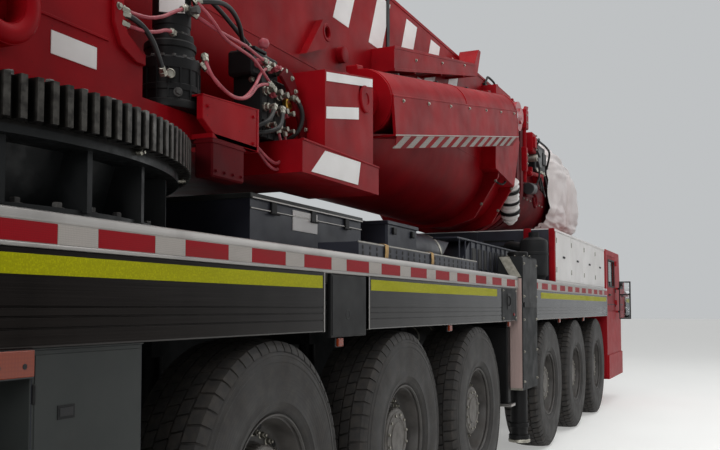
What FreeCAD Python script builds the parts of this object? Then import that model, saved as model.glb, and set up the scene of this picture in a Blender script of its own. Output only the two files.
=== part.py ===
"""An eight-axle road-going mobile crane with a telescopic boom, as a parametric document.

All lengths are in millimetres. The model's origin lies on the ground at the middle of its own
length: +X is forward, +Y is the vehicle's left and +Z is up. Each x below is measured from the
slewing centre, and `ahead` moves it into the model's frame.
"""
import FreeCAD, Part

import math
import os
import re

import Sketcher

# name: (value, what it sets)
DRIVING = {
    "boom_reach": (13700, "front of the wrapped boom head, ahead of the slewing centre"),
    "tail_reach": (5000, "rear end of the carrier, behind the slewing centre"),
    "carrier_width": (3000, "width over the side skirts"),
    "carrier_front": (13000, "front of the bumper"),
    # wheels
    "tyre_diameter": (1370, "overall diameter of the tyre"),
    "tyre_width": (385, "section width of the tyre"),
    "rim_diameter": (700, "diameter over the rim flange"),
    "hub_diameter": (380, "drum that stands out of the rim"),
    "wheel_face": (1480, "outer sidewall from the centre plane"),
    "spindle_diameter": (120, "stub axle that the hub turns on"),
    "fit_gap": (0.3, "running gap of pins, bushes and bearings"),
    # axles
    "front_axle": (10470, "first axle of the front group of three"),
    "middle_axle": (4420, "first axle of the middle group of three"),
    "rear_overhang": (3670, "first axle of the rear pair, ahead of the tail"),
    "axle_pitch": (1650, "distance between neighbouring axles"),
    "kingpin_offset": (1040, "kingpin from the centre plane"),
    "kingpin_diameter": (160, "kingpin housing"),
    "knuckle_height": (300, "kingpin housing between the fork's plates"),
    "fork_plate": (50, "thickness of a fork plate"),
    "beam_depth": (180, "axle beam"),
    "beam_width": (150, "axle beam"),
    "strut_diameter": (110, "suspension strut"),
    "strut_offset": (760, "suspension strut from the centre plane"),
    "strut_top": (1270, "seat of the struts"),
    # carrier frame and deck
    "frame_width": (1100, "main box of the frame"),
    "frame_bottom": (870, "underside of the frame"),
    "rail_width": (170, "each rail beside the engine"),
    "rail_start": (7400, "where the main box divides into two rails"),
    "tow_block": (150, "tow jaw, front to back"),
    "tow_low": (940, "underside of the tow jaw"),
    "tow_high": (1180, "top of the tow jaw"),
    "tow_pin": (41, "bore for the tow pin"),
    "deck_top": (1800, "walking surface of the deck"),
    "deck_depth": (110, "thickness of the deck"),
    "deck_front": (11300, "front end of the deck"),
    "skirt_bottom": (1390, "lower edge of the ribbed skirts"),
    "skirt_thickness": (28, "skirt plate"),
    "edge_depth": (40, "aluminium edge profile, across"),
    "edge_rise": (8, "edge profile above the deck"),
    # outriggers
    "front_outrigger": (5950, "middle of the front outrigger box"),
    "rear_outrigger_inset": (600, "middle of the rear outrigger box, ahead of the tail"),
    "post_length": (620, "outrigger end post, along the vehicle"),
    "post_inner": (1300, "inner face of an end post"),
    "post_outer": (1530, "outer face of an end post"),
    "post_bottom": (740, "underside of an end post"),
    "post_top": (2000, "top of an end post"),
    "channel_width": (270, "inside of an outrigger channel"),
    "channel_height": (450, "inside of an outrigger channel"),
    "channel_bottom": (900, "floor of an outrigger channel"),
    "channel_web": (20, "web between the two channels"),
    "box_wall": (15, "wall of the outrigger box"),
    "beam_gap": (5, "side clearance of an outrigger beam"),
    "seat_gap": (0.5, "clearance where a sliding piece rests"),
    "jack_diameter": (160, "outrigger jack"),
    "jack_foot": (220, "underside of the jack foot"),
    "foot_diameter": (200, "jack foot"),
    # slewing gear
    "ring_diameter": (2900, "over the teeth of the slewing ring"),
    "ring_bottom": (2100, "underside of the toothed ring"),
    "ring_top": (2240, "top of the toothed ring"),
    "tooth_depth": (40, "slewing ring tooth"),
    "tooth_count": (160, "slewing ring teeth"),
    "pedestal_flange": (2660, "diameter of the pedestal's foot flange"),
    "pedestal_waist": (2360, "diameter of the pedestal over its flange"),
    "gusset_count": (24, "gussets round the pedestal"),
    "gusset_thickness": (25, "gusset plate"),
    # superstructure
    "platform_bottom": (2300, "underside of the slewing platform"),
    "platform_top": (2600, "top of the slewing platform"),
    "platform_rear": (-4100, "rear end of the platform"),
    "platform_front": (2750, "front end of the platform"),
    "platform_width": (2160, "width of the platform"),
    "platform_waist": (1800, "width of the platform's front part"),
    "floor_plate": (40, "plate under the boom, between the platform's girders"),
    "trough_rear": (-2050, "rear end of the trough that the boom lies in"),
    "trough_width": (1410, "trough between the platform's girders"),
    "cheek_inner": (720, "inner face of a boom cheek"),
    "cheek_thickness": (120, "boom cheek"),
    "wall_front": (480, "front end of the right side wall, where the gearbox recess begins"),
    "wall_top": (3300, "top of the side wall"),
    "recess_floor": (2420, "floor of the recess that the slewing gearbox stands in"),
    "gear_x": (920, "slewing gearbox"),
    "gear_y": (1000, "slewing gearbox from the centre plane"),
    "foot_box_length": (700, "cylinder foot box, front to back"),
    "foot_box_inner": (780, "inner face of a foot box"),
    "foot_box_outer": (1250, "outer face of a foot box"),
    "sill_outer": (1290, "outer face of the sill under a foot box"),
    "sill_bottom": (2240, "underside of the sill"),
    "pivot_x": (-800, "boom pivot, ahead of the slewing centre"),
    "pivot_z": (3450, "boom pivot above the ground"),
    "pivot_pin": (240, "diameter of the boom pivot pin"),
    # luffing cylinders
    "foot_pin_x": (2600, "cylinder foot pin"),
    "foot_pin_z": (2870, "cylinder foot pin"),
    "eye_x": (7500, "rod eye at the boom"),
    "eye_z": (3750, "rod eye at the boom"),
    "cylinder_offset": (1000, "cylinder axis from the centre plane"),
    "barrel_diameter": (450, "luffing cylinder barrel"),
    "barrel_start": (540, "barrel's near end from the foot pin"),
    "barrel_length": (3810, "barrel from its near end to its gland"),
    "rod_diameter": (220, "luffing cylinder rod"),
    "rod_inset": (150, "rod's inner end from the foot pin"),
    "foot_pin": (140, "diameter of the cylinder foot pin"),
    "gland_length": (110, "tapered gland at the barrel's mouth"),
    "guard_plate": (12, "plates of the guard box under the barrel"),
    "guard_drop": (35, "guard's floor below the barrel"),
    # boom
    "boom_width": (1400, "base section across"),
    "boom_top": (4200, "top of the base section"),
    "boom_belly": (3200, "height where the round belly begins"),
    "boom_wall": (35, "wall of each section"),
    "boom_step": (55, "how far each section lies inside the last"),
    "boom_rear": (-1300, "rear end of the base section"),
    "mouth_inset": (5000, "front end of the base section, behind the wrapped head's front"),
    "section_stagger": (450, "how far each section stands out of the last"),
    "section_rear": (-300, "rear end of the first telescopic section"),
    "frame_half": (860, "half the width of the frames round the boom at the cylinder lugs"),
    "frame_low": (2470, "underside of those frames"),
    "tray_start": (4000, "rear end of the tray on the boom's side"),
    "tray_height": (3420, "underside of the tray at its rear end"),
    "collar_length": (150, "collar at each mouth"),
    "collar_rise": (25, "collar over its section"),
    "wrap_length": (2400, "length of the wrapped head"),
    "wrap_hold": (250, "how far the boom tip stands in the wrap"),
    # cab
    "cab_rear": (11330, "rear wall of the driver's cab"),
    "cab_half": (1480, "half the width of the driver's cab"),
    "cab_floor": (1400, "underside of the cab floor"),
    "cab_roof": (2420, "cab roof"),
    "cab_wall": (60, "thickness of the cab's walls and doors"),
    "cab_belt": (1500, "where the windscreen begins to lean"),
    "cab_lean": (180, "how far the windscreen leans back"),
    "nose_rear": (11400, "rear face of the nose, ahead of the first wheel"),
    "nose_bottom": (450, "underside of the nose"),
    "door_rear": (11450, "rear edge of the driver's door"),
    "door_front": (12350, "front edge of the driver's door"),
    "door_bottom": (1460, "lower edge of the driver's door"),
    "door_top": (2340, "upper edge of the driver's door"),
    "door_gap": (5, "gap round a door"),
    # engine housing
    "engine_rear": (7500, "rear wall of the engine housing"),
    "engine_wall": (40, "wall of the engine housing"),
    # operator's cab
    "booth_rear": (250, "rear wall of the operator's cab"),
    "booth_front": (1950, "front of the operator's cab"),
    "booth_inner": (880, "inner wall of the operator's cab"),
    "booth_outer": (1600, "outer wall of the operator's cab"),
    "booth_top": (4050, "roof of the operator's cab"),
    "booth_wall": (40, "wall of the operator's cab"),
}

doc = FreeCAD.newDocument("MobileCrane")
sheet = doc.addObject("Spreadsheet::Sheet", "Sizes")
for row, (alias, (value, meaning)) in enumerate(DRIVING.items(), start=1):
    sheet.set(f"A{row}", alias)
    sheet.set(f"B{row}", str(value))
    sheet.set(f"C{row}", meaning)
    sheet.setAlias(f"B{row}", alias)
doc.recompute()

# places that follow from the driving sizes, as formulas in the sheet's names
CENTRE = "(boom_reach - tail_reach) / 2"
AXLE_HEIGHT = "tyre_diameter / 2"
WHEEL_PLANE = "(wheel_face - tyre_width / 2)"
DECK_UNDER = "(deck_top - deck_depth)"
HALF_BODY = "(carrier_width / 2)"
HALF_FRAME = "(frame_width / 2)"
REAR_AXLE = "(-tail_reach + rear_overhang)"
REAR_OUTRIGGER = "(-tail_reach + rear_outrigger_inset)"
BOOM_MOUTH = "(boom_reach - mouth_inset)"
WRAP_START = "(boom_reach - wrap_length)"
CYLINDER_RUN = "(eye_x - foot_pin_x)"
CYLINDER_RISE = "(eye_z - foot_pin_z)"

Vector = FreeCAD.Vector
TURN = {
    "x": FreeCAD.Rotation(Vector(0, 1, 0), 90),
    "y": FreeCAD.Rotation(Vector(1, 0, 0), -90),
    "z": FreeCAD.Rotation(),
}
SIDES = (("left", 1), ("right", -1))
nodes = {}


def bound(text):
    """A formula in driving names, with the sheet's name set before each of them."""
    return re.sub(r"[a-z][a-z_]+", lambda m: f"Sizes.{m[0]}" if m[0] in DRIVING else m[0], str(text))


def value_of(text):
    """The present value of a formula in driving names."""
    return float(sheet.evalExpression(bound(text)))


def ahead(text):
    """A distance ahead of the slewing centre, in the model's frame."""
    return f"({text}) - {CENTRE}"


def box(name, x, y, z, local=False):
    """A block between two formulas along each axis."""
    piece = doc.addObject("Part::Box", name)
    for side, axis, (low, high) in (("Length", "x", x), ("Width", "y", y), ("Height", "z", z)):
        piece.setExpression(side, bound(f"({high}) - ({low})"))
        start = ahead(low) if axis == "x" and not local else low
        piece.setExpression(f"Placement.Base.{axis}", bound(start))
    return piece


def cylinder(name, along, base, length, radius, local=False):
    """A round bar from its base point along one axis."""
    piece = doc.addObject("Part::Cylinder", name)
    piece.Placement = FreeCAD.Placement(Vector(), TURN[along])
    piece.setExpression("Height", bound(length))
    piece.setExpression("Radius", bound(radius))
    base = [base[0] if local else ahead(base[0]), base[1], base[2]]
    for axis, text in zip("xyz", base):
        piece.setExpression(f"Placement.Base.{axis}", bound(text))
    return piece


def new_sketch(body, name, role):
    """A sketch on one of the body's own origin planes."""
    sketch = body.newObject("Sketcher::SketchObject", name)
    plane = next(item for item in body.Origin.OriginFeatures if item.Role == role)
    sketch.AttachmentSupport = [(plane, "")]
    sketch.MapMode = "FlatFace"
    return sketch


def draw(sketch, points, arc_centres=None):
    """Joins the points in a closed outline. arc_centres gives the centre of an edge that is an arc."""
    arc_centres = arc_centres or {}
    values = [Vector(value_of(u), value_of(v), 0) for u, v in points]
    for index, start in enumerate(values):
        end = values[(index + 1) % len(values)]
        if index not in arc_centres:
            sketch.addGeometry(Part.LineSegment(start, end))
            continue
        centre = Vector(*[value_of(text) for text in arc_centres[index]], 0)
        circle = Part.Circle(centre, Vector(0, 0, 1), (start - centre).Length)
        angles = [math.atan2(point.y - centre.y, point.x - centre.x) for point in (start, end)]
        sketch.addGeometry(Part.ArcOfCircle(circle, *angles))
    for index in range(len(values)):
        sketch.addConstraint(Sketcher.Constraint("Coincident", index, 2, (index + 1) % len(values), 1))
    for index, (u, v) in enumerate(points):
        for kind, text, number in (("DistanceX", u, values[index].x), ("DistanceY", v, values[index].y)):
            tied = sketch.addConstraint(Sketcher.Constraint(kind, -1, 1, index, 1, number))
            sketch.setExpression(f"Constraints[{tied}]", bound(text))
    for index, (u, v) in arc_centres.items():
        tied = sketch.addConstraint(Sketcher.Constraint("DistanceY", -1, 1, index, 3, value_of(v)))
        sketch.setExpression(f"Constraints[{tied}]", bound(v))


# plane: (origin plane, which way its sketch faces along the third axis)
PLANES = {"xz": ("XZ_Plane", -1), "yz": ("YZ_Plane", 1), "xy": ("XY_Plane", 1)}


def plate(name, plane, points, low, high, arc_centres=None):
    """An outline in one plane, padded from low to high along the third axis."""
    role, facing = PLANES[plane]
    body = doc.addObject("PartDesign::Body", name)
    sketch = new_sketch(body, f"{name}_outline", role)
    draw(sketch, points, arc_centres)
    start = low if facing > 0 else f"-({high})"
    sketch.setExpression("AttachmentOffset.Base.z", bound(start))
    pad = body.newObject("PartDesign::Pad", f"{name}_pad")
    pad.Profile = sketch
    pad.setExpression("Length", bound(f"({high}) - ({low})"))
    return body


def turned(name, points):
    """An outline of (radius, height) points turned about the body's own Z axis."""
    body = doc.addObject("PartDesign::Body", name)
    sketch = new_sketch(body, f"{name}_profile", "XZ_Plane")
    draw(sketch, points)
    solid = body.newObject("PartDesign::Revolution", f"{name}_turn")
    solid.Profile = sketch
    solid.ReferenceAxis = (sketch, ["V_Axis"])
    solid.Angle = 360
    return body


def fuse(name, pieces):
    """One solid from pieces that meet."""
    joined = doc.addObject("Part::MultiFuse", name)
    joined.Shapes = pieces
    joined.Refine = True
    return joined


def cut(name, base, tools):
    """The base less one or more tools."""
    removed = tools[0] if len(tools) == 1 else together(f"{name}_tools", tools)
    less = doc.addObject("Part::Cut", name)
    less.Base = base
    less.Tool = removed
    return less


def together(name, pieces):
    """Pieces of one body that stay separate solids."""
    group = doc.addObject("Part::Compound", name)
    group.Links = pieces
    return group


def mirrored(name, piece):
    """The piece on the other side of the centre plane."""
    other = doc.addObject("Part::Mirroring", name)
    other.Source = piece
    other.Normal = Vector(0, 1, 0)
    return other


def both_sides(name, piece):
    """The piece and its mirror image, as two solids."""
    return together(name, [piece, mirrored(f"{name}_right", piece)])


def copied(name, form, x, y, z, rotation=None):
    """A copy of a form at a place of its own."""
    piece = together(name, [form])
    piece.Placement = FreeCAD.Placement(Vector(), rotation or FreeCAD.Rotation())
    for axis, text in zip("xyz", (ahead(x), y, z)):
        piece.setExpression(f"Placement.Base.{axis}", bound(text))
    return piece


def node(name, piece):
    """Marks a piece as a sub-part that is written out."""
    piece.Label = name
    nodes[name] = piece
    return piece


# Axles, front to rear: (number, first axle of its group, steps behind it, steered)
AXLES = (
    (1, "front_axle", 0, True),
    (2, "front_axle", 1, True),
    (3, "front_axle", 2, True),
    (4, "middle_axle", 0, False),
    (5, "middle_axle", 1, False),
    (6, "middle_axle", 2, False),
    (7, REAR_AXLE, 0, True),
    (8, REAR_AXLE, 1, True),
)


def axle_place(group, steps):
    return f"({group} - {steps} * axle_pitch)"


def wheel_form():
    """Tyre, rim and hub in one, turned about Z with the outer side up."""
    half = "tyre_width / 2"
    tread = "tyre_diameter / 2"
    flange = "rim_diameter / 2"
    hub = "hub_diameter / 2"
    bore = "(spindle_diameter / 2 + fit_gap)"
    return turned("wheel_form", [
        (tread, f"-({half}) * 0.72"),
        (tread, f"({half}) * 0.72"),
        (f"{tread} - 40", f"{half} - 8"),
        (f"({tread} + {flange}) / 2", half),
        (flange, f"{half} - 22"),
        (f"{flange} - 25", f"{half} - 36"),
        (f"{flange} - 50", "40"),
        (f"{hub} + 12", "25"),
        (hub, "110"),
        (f"{hub} - 60", "125"),
        ("0", "125"),
        ("0", "95"),
        (bore, "95"),
        (bore, "-60"),
        (f"{hub} - 40", "-60"),
        (f"{hub} - 25", "5"),
        (f"{flange} - 70", "15"),
        (f"{flange} - 45", f"-({half}) + 30"),
        (flange, f"-({half}) + 22"),
        (f"({tread} + {flange}) / 2", f"-({half})"),
        (f"{tread} - 40", f"-({half}) + 8"),
    ])


def knuckle_form():
    """Kingpin housing, stub axle, brake drum and steering arm; the left side, centred on the kingpin."""
    pin_radius = "kingpin_diameter / 2"
    reach = f"({WHEEL_PLANE} - kingpin_offset)"
    drum_start = f"({pin_radius} + 10)"
    housing = cylinder("knuckle_housing", "z", ("0", "0", "-knuckle_height / 2"), "knuckle_height",
                       pin_radius, local=True)
    stub = cylinder("knuckle_stub", "y", ("0", "0", "0"), f"{reach} + 80", "spindle_diameter / 2", local=True)
    drum = cylinder("knuckle_drum", "y", ("0", drum_start, "0"), f"{reach} - 67 - {drum_start}",
                    "hub_diameter / 2 + 10", local=True)
    arm = box("knuckle_arm", ("-330", "0"), ("-40", "40"), ("-60", "60"), local=True)
    return fuse("knuckle_form", [housing, stub, drum, arm])


def wheels_and_knuckles():
    form = wheel_form()
    left_knuckle = knuckle_form()
    right_knuckle = mirrored("knuckle_form_right", left_knuckle)
    outward = {1: FreeCAD.Rotation(Vector(1, 0, 0), -90), -1: FreeCAD.Rotation(Vector(1, 0, 0), 90)}
    knuckles = {1: left_knuckle, -1: right_knuckle}
    for number, group, steps, steered in AXLES:
        place = axle_place(group, steps)
        for side, sign in SIDES:
            name = f"wheel_{number}_{side}"
            node(name, copied(name, form, place, f"{sign} * {WHEEL_PLANE}", AXLE_HEIGHT, outward[sign]))
            if steered:
                name = f"knuckle_{number}_{side}"
                node(name, copied(name, knuckles[sign], place, f"{sign} * kingpin_offset", AXLE_HEIGHT))


def axle_beams():
    """A beam across the vehicle for each axle, with forks or fixed stub axles, and its struts."""
    beams = []
    for number, group, steps, steered in AXLES:
        place = axle_place(group, steps)
        middle = AXLE_HEIGHT
        end = "(kingpin_offset - kingpin_diameter / 2 - 70)"
        pieces = [
            box(f"beam_{number}", (f"{place} - beam_width / 2", f"{place} + beam_width / 2"),
                (f"-{end} - 40", f"{end} + 40"), (f"{middle} - beam_depth / 2", f"{middle} + beam_depth / 2")),
            cylinder(f"beam_gear_{number}", "y", (place, "-190", middle), "380", "beam_depth"),
        ]
        for side, sign in SIDES:
            pieces.append(cylinder(f"strut_{number}_{side}", "z", (place, f"{sign} * strut_offset", middle),
                                   f"strut_top - {middle}", "strut_diameter / 2"))
            if steered:
                pieces.append(fork(number, side, sign, place, middle, end))
            else:
                pieces += fixed_stub(number, side, sign, place, middle, end)
        beams.append(fuse(f"axle_{number}", pieces))
    node("axle_beams", together("axle_beams", beams))


def span(sign, low, high):
    """A stretch from low to high outwards, on the side that sign gives."""
    return (low, high) if sign > 0 else (f"-({high})", f"-({low})")


def fork(number, side, sign, place, middle, end):
    """The two plates that hold a kingpin housing, and the web that joins them to the beam."""
    tag = f"{number}_{side}"
    outside = "knuckle_height / 2 + fit_gap + fork_plate"
    web = box(f"fork_web_{tag}", (f"{place} - beam_width / 2", f"{place} + beam_width / 2"),
              span(sign, end, f"{end} + 40"), (f"{middle} - ({outside})", f"{middle} + {outside}"))
    pieces = [web]
    for level, base in (("low", f"{middle} - ({outside})"), ("high", f"{middle} + knuckle_height / 2 + fit_gap")):
        pieces.append(box(f"fork_plate_{level}_{tag}", (f"{place} - beam_width / 2", f"{place} + beam_width / 2"),
                          span(sign, end, "kingpin_offset"), (base, f"{base} + fork_plate")))
        pieces.append(cylinder(f"fork_boss_{level}_{tag}", "z", (place, f"{sign} * kingpin_offset", base),
                               "fork_plate", "kingpin_diameter / 2"))
    return fuse(f"fork_{tag}", pieces)


def fixed_stub(number, side, sign, place, middle, end):
    """A stub axle and brake drum that don't steer."""
    tag = f"{number}_{side}"
    tip = f"({WHEEL_PLANE} + 80)"
    start = f"{end} - 40"
    base = start if sign > 0 else f"-{tip}"
    stub = cylinder(f"stub_{tag}", "y", (place, base, middle), f"{tip} - ({start})", "spindle_diameter / 2")
    inner = "(kingpin_offset + kingpin_diameter / 2 + 10)"
    outer = f"({WHEEL_PLANE} - 67)"
    drum = cylinder(f"drum_{tag}", "y", (place, inner if sign > 0 else f"-{outer}", middle),
                    f"{outer} - {inner}", "hub_diameter / 2 + 10")
    return [stub, drum]


# Outriggers: (name, middle)
OUTRIGGERS = (("front", "front_outrigger"), ("rear", REAR_OUTRIGGER))


def channel_middle(middle, sign):
    """Middle of the channel whose beam comes out on the side that sign gives."""
    return f"({middle} + {sign} * (channel_width + channel_web) / 2)"


def carrier_frame():
    """Main box, engine rails, outrigger boxes with their channels, and the brackets over the struts."""
    outer_half = "(channel_width + channel_web / 2 + box_wall)"
    main = box("frame_main", ("-tail_reach + tow_block", "rail_start"), (f"-{HALF_FRAME}", HALF_FRAME),
               ("frame_bottom", DECK_UNDER))
    jaw = box("tow_jaw", ("-tail_reach", "-tail_reach + tow_block + 10"), ("-120", "120"), ("tow_low", "tow_high"))
    pieces = [main, jaw]
    for side, sign in SIDES:
        rail = span(sign, f"{HALF_FRAME} - rail_width", HALF_FRAME)
        pieces.append(box(f"rail_{side}", ("rail_start - 50", "deck_front"), rail, ("frame_bottom", DECK_UNDER)))
        pieces.append(box(f"rail_low_{side}", ("deck_front - 50", "nose_rear"), rail, ("frame_bottom", "cab_floor")))
    for index, place in enumerate(("engine_rear + 400", "engine_rear + 1650", "nose_rear - 150")):
        pieces.append(box(f"cross_{index}", (place, f"{place} + 150"), (f"-{HALF_FRAME}", HALF_FRAME),
                          ("frame_bottom", "frame_bottom + 200")))
    for number, group, steps, _ in AXLES:
        place = axle_place(group, steps)
        for side, sign in SIDES:
            pieces.append(box(f"bracket_{number}_{side}", (f"{place} - 70", f"{place} + 70"),
                              span(sign, f"{HALF_FRAME} - 20", "strut_offset + strut_diameter / 2"),
                              ("strut_top", "strut_top + 110")))
    channels = [
        box("tow_slot", ("-tail_reach - 10", "-tail_reach + tow_block - 20"), ("-130", "130"),
            ("tow_low + 70", "tow_high - 70")),
        cylinder("tow_bore", "z", ("-tail_reach + tow_block / 2", "0", "tow_low - 10"), "tow_high - tow_low + 20",
                 "tow_pin / 2"),
    ]
    for name, middle in OUTRIGGERS:
        reach = "(post_inner - 10)"
        pieces.append(box(f"outrigger_box_{name}", (f"{middle} - {outer_half}", f"{middle} + {outer_half}"),
                          (f"-{reach}", reach),
                          ("channel_bottom - 50", "channel_bottom + channel_height + 50")))
        for side, sign in SIDES:
            line = channel_middle(middle, sign)
            channels.append(box(f"channel_{name}_{side}",
                                (f"{line} - channel_width / 2", f"{line} + channel_width / 2"),
                                ("-post_inner", "post_inner"),
                                ("channel_bottom", "channel_bottom + channel_height")))
    node("carrier_frame", cut("carrier_frame", fuse("frame_solid", pieces), channels))


def outriggers():
    """A sliding beam with its end post, and the jack in the post, for each corner."""
    width = "(channel_width - 2 * beam_gap)"
    top = "channel_bottom + channel_height - beam_gap"
    axis = "(post_inner + post_outer) / 2"
    for name, middle in OUTRIGGERS:
        for side, sign in SIDES:
            tag = f"{name}_{side}"
            line = channel_middle(middle, sign)
            bar = box(f"slide_{tag}", (f"{line} - {width} / 2", f"{line} + {width} / 2"),
                      span(sign, "-post_inner + 50", "post_inner + 50"), ("channel_bottom + seat_gap", top))
            post = box(f"post_{tag}", (f"{middle} - post_length / 2", f"{middle} + post_length / 2"),
                       span(sign, "post_inner", "post_outer"), ("post_bottom", "post_top"))
            hole = cylinder(f"jack_hole_{tag}", "z", (middle, f"{sign} * {axis}", "post_bottom - 10"),
                            "post_top - post_bottom + 20", "jack_diameter / 2 + seat_gap")
            beam = cut(f"outrigger_beam_{tag}", fuse(f"beam_and_post_{tag}", [bar, post]), [hole])
            node(f"outrigger_beam_{tag}", beam)
            leg = cylinder(f"leg_{tag}", "z", (middle, f"{sign} * {axis}", "jack_foot + 60"),
                           "post_top - jack_foot - 110", "jack_diameter / 2")
            foot = cylinder(f"foot_{tag}", "z", (middle, f"{sign} * {axis}", "jack_foot"), "70", "foot_diameter / 2")
            node(f"outrigger_jack_{tag}", fuse(f"outrigger_jack_{tag}", [leg, foot]))


def toothed_ring():
    """The slewing ring's outline: four points for each tooth, at its root and its tip."""
    outer = value_of("ring_diameter / 2")
    root = outer - value_of("tooth_depth")
    count = int(value_of("tooth_count"))
    step = 2 * math.pi / count
    # share of the tooth pitch, radius
    flank = ((0.0, root), (0.28, root), (0.42, outer), (0.82, outer))
    corners = []
    for tooth in range(count):
        for share, radius in flank:
            angle = (tooth + share) * step
            corners.append(Vector(radius * math.cos(angle), radius * math.sin(angle), value_of("ring_bottom")))
    wire = Part.makePolygon(corners + corners[:1])
    ring = doc.addObject("Part::Feature", "toothed_ring")
    ring.Shape = Part.Face(wire).extrude(Vector(0, 0, value_of("ring_top - ring_bottom")))
    ring.Placement = FreeCAD.Placement(Vector(value_of(ahead("0")), 0, 0), FreeCAD.Rotation())
    return ring


def slewing_pedestal():
    """The cone on the deck with its foot flange and gussets, under the toothed ring."""
    cone = turned("pedestal_cone", [
        ("0", "deck_top"),
        ("pedestal_flange / 2", "deck_top"),
        ("pedestal_flange / 2", "deck_top + 50"),
        ("pedestal_waist / 2", "deck_top + 50"),
        ("pedestal_waist / 2 + 60", "ring_bottom - 40"),
        ("ring_diameter / 2 - tooth_depth - 15", "ring_bottom - 40"),
        ("ring_diameter / 2 - tooth_depth - 15", "ring_bottom + 20"),
        ("0", "ring_bottom + 20"),
    ])
    cone.setExpression("Placement.Base.x", bound(ahead("0")))
    gussets = doc.addObject("Part::Feature", "pedestal_gussets")
    low, high = value_of("deck_top + 40"), value_of("ring_bottom - 30")
    inner, outer = value_of("pedestal_waist / 2 - 20"), value_of("pedestal_flange / 2 + 20")
    thick = value_of("gusset_thickness")
    flat = Part.makeBox(outer - inner, thick, high - low, Vector(inner, -thick / 2, low))
    count = int(value_of("gusset_count"))
    turns = [flat.rotated(Vector(), Vector(0, 0, 1), 360 * index / count) for index in range(count)]
    gussets.Shape = Part.Compound(turns)
    gussets.Placement = FreeCAD.Placement(Vector(value_of(ahead("0")), 0, 0), FreeCAD.Rotation())
    node("slewing_pedestal", fuse("slewing_pedestal", [cone, gussets, toothed_ring()]))


def deck():
    """The deck plate, open round the engine and notched for the outrigger posts."""
    slab = box("deck_slab", ("-tail_reach", "deck_front"),
               (f"-{HALF_BODY} + edge_depth", f"{HALF_BODY} - edge_depth"), (DECK_UNDER, "deck_top"))
    well = box("engine_well", ("engine_rear + 350", "engine_rear + 1900"),
               (f"-{HALF_FRAME} + rail_width", f"{HALF_FRAME} - rail_width"), (f"{DECK_UNDER} - 10", "deck_top + 10"))
    notches = []
    for name, middle in OUTRIGGERS:
        for side, sign in SIDES:
            notches.append(box(f"deck_notch_{name}_{side}",
                               (f"{middle} - post_length / 2 - 20", f"{middle} + post_length / 2 + 20"),
                               span(sign, "post_inner - 20", "post_outer + 20"),
                               (f"{DECK_UNDER} - 10", "deck_top + 10")))
    node("deck", cut("deck", slab, [well] + notches))


# Skirts: (name, rear end, front end, lower edge)
SKIRTS = (
    ("rear", f"{REAR_OUTRIGGER} + post_length / 2 + 40", "1550", "skirt_bottom"),
    ("panel", "1630", "2080", "skirt_bottom - 35"),
    ("middle", "2110", "front_outrigger - post_length / 2 - 90", "skirt_bottom"),
    ("front", "front_outrigger + post_length / 2 + 90", "deck_front", "skirt_bottom"),
)
# Edge profiles: (name, rear end, front end)
EDGES = (
    ("tail", "-tail_reach", f"{REAR_OUTRIGGER} - post_length / 2 - 25"),
    ("middle", f"{REAR_OUTRIGGER} + post_length / 2 + 25", "front_outrigger - post_length / 2 - 25"),
    ("front", "front_outrigger + post_length / 2 + 25", "deck_front"),
)


def side_skirts():
    """The aluminium edge profile along the deck and the skirt plates that hang from it."""
    groups = []
    for name, rear, front in EDGES:
        pieces = [box(f"edge_{name}", (rear, front), (f"{HALF_BODY} - edge_depth", HALF_BODY),
                      (DECK_UNDER, "deck_top + edge_rise"))]
        for skirt, start, end, bottom in SKIRTS:
            owner = "front" if skirt == "front" else "middle"
            if owner == name:
                pieces.append(box(f"skirt_{skirt}", (start, end), (f"{HALF_BODY} - skirt_thickness", HALF_BODY),
                                  (bottom, f"{DECK_UNDER} + 5")))
        left = fuse(f"skirts_{name}", pieces) if len(pieces) > 1 else pieces[0]
        groups.append(both_sides(f"skirts_{name}_both", left))
    node("side_skirts", together("side_skirts", groups))


def side_boxes():
    """The control box beside the frame on each side, on its bracket."""
    case = box("case", ("-384", "132"), ("1150", "wheel_face"), ("550", "skirt_bottom - 5"))
    arm = box("case_arm", ("-200", "-60"), (HALF_FRAME, "1160"), ("1150", "1290"))
    return both_sides("side_boxes", fuse("side_box", [case, arm]))


def equipment_boxes():
    """Boxes, tanks and a housing that stand on the deck, and the boxes beside the frame."""
    locker = box("deck_locker", ("1560", "3000"), ("-1050", "-150"), ("deck_top", "deck_top + 320"))
    hood = plate("deck_hood", "xz", [
        (ahead("4500"), "deck_top"), (ahead("6900"), "deck_top"),
        (ahead("6650"), "deck_top + 300"), (ahead("4900"), "deck_top + 300")], "-1250", "-1060")
    tank = cylinder("deck_tank", "x", ("3700", "-620", "deck_top + 205"), "3300", "205")
    tank_two = cylinder("deck_tank_two", "x", ("3700", "620", "deck_top + 205"), "3300", "205")
    plank = box("deck_plank", ("2100", "4450"), ("-1440", "-1180"), ("deck_top", "deck_top + 90"))
    locker_two = box("deck_locker_left", ("1560", "3300"), ("200", "1150"), ("deck_top", "deck_top + 320"))
    node("equipment_boxes", together("equipment_boxes", [
        locker, hood, tank, tank_two, plank, locker_two, side_boxes()]))


def engine():
    """The housing behind the cab, open below, and the engine in it as one plain block."""
    housing_half = f"({HALF_BODY} - edge_depth)"
    outer = box("engine_outer", ("engine_rear", "cab_rear - 30"), (f"-{housing_half}", housing_half),
                ("deck_top", "cab_roof"))
    inner = box("engine_inner", ("engine_rear + engine_wall", "cab_rear - 30 - engine_wall"),
                (f"-{housing_half} + engine_wall", f"{housing_half} - engine_wall"),
                ("deck_top - 10", "cab_roof - engine_wall"))
    node("engine_housing", cut("engine_housing", outer, [inner]))
    node("engine_block", box("engine_block", ("engine_rear + 400", "engine_rear + 1800"),
                             (f"-{HALF_FRAME} + rail_width + 10", f"{HALF_FRAME} - rail_width - 10"),
                             ("frame_bottom + 200", "cab_roof - 120")))


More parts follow.
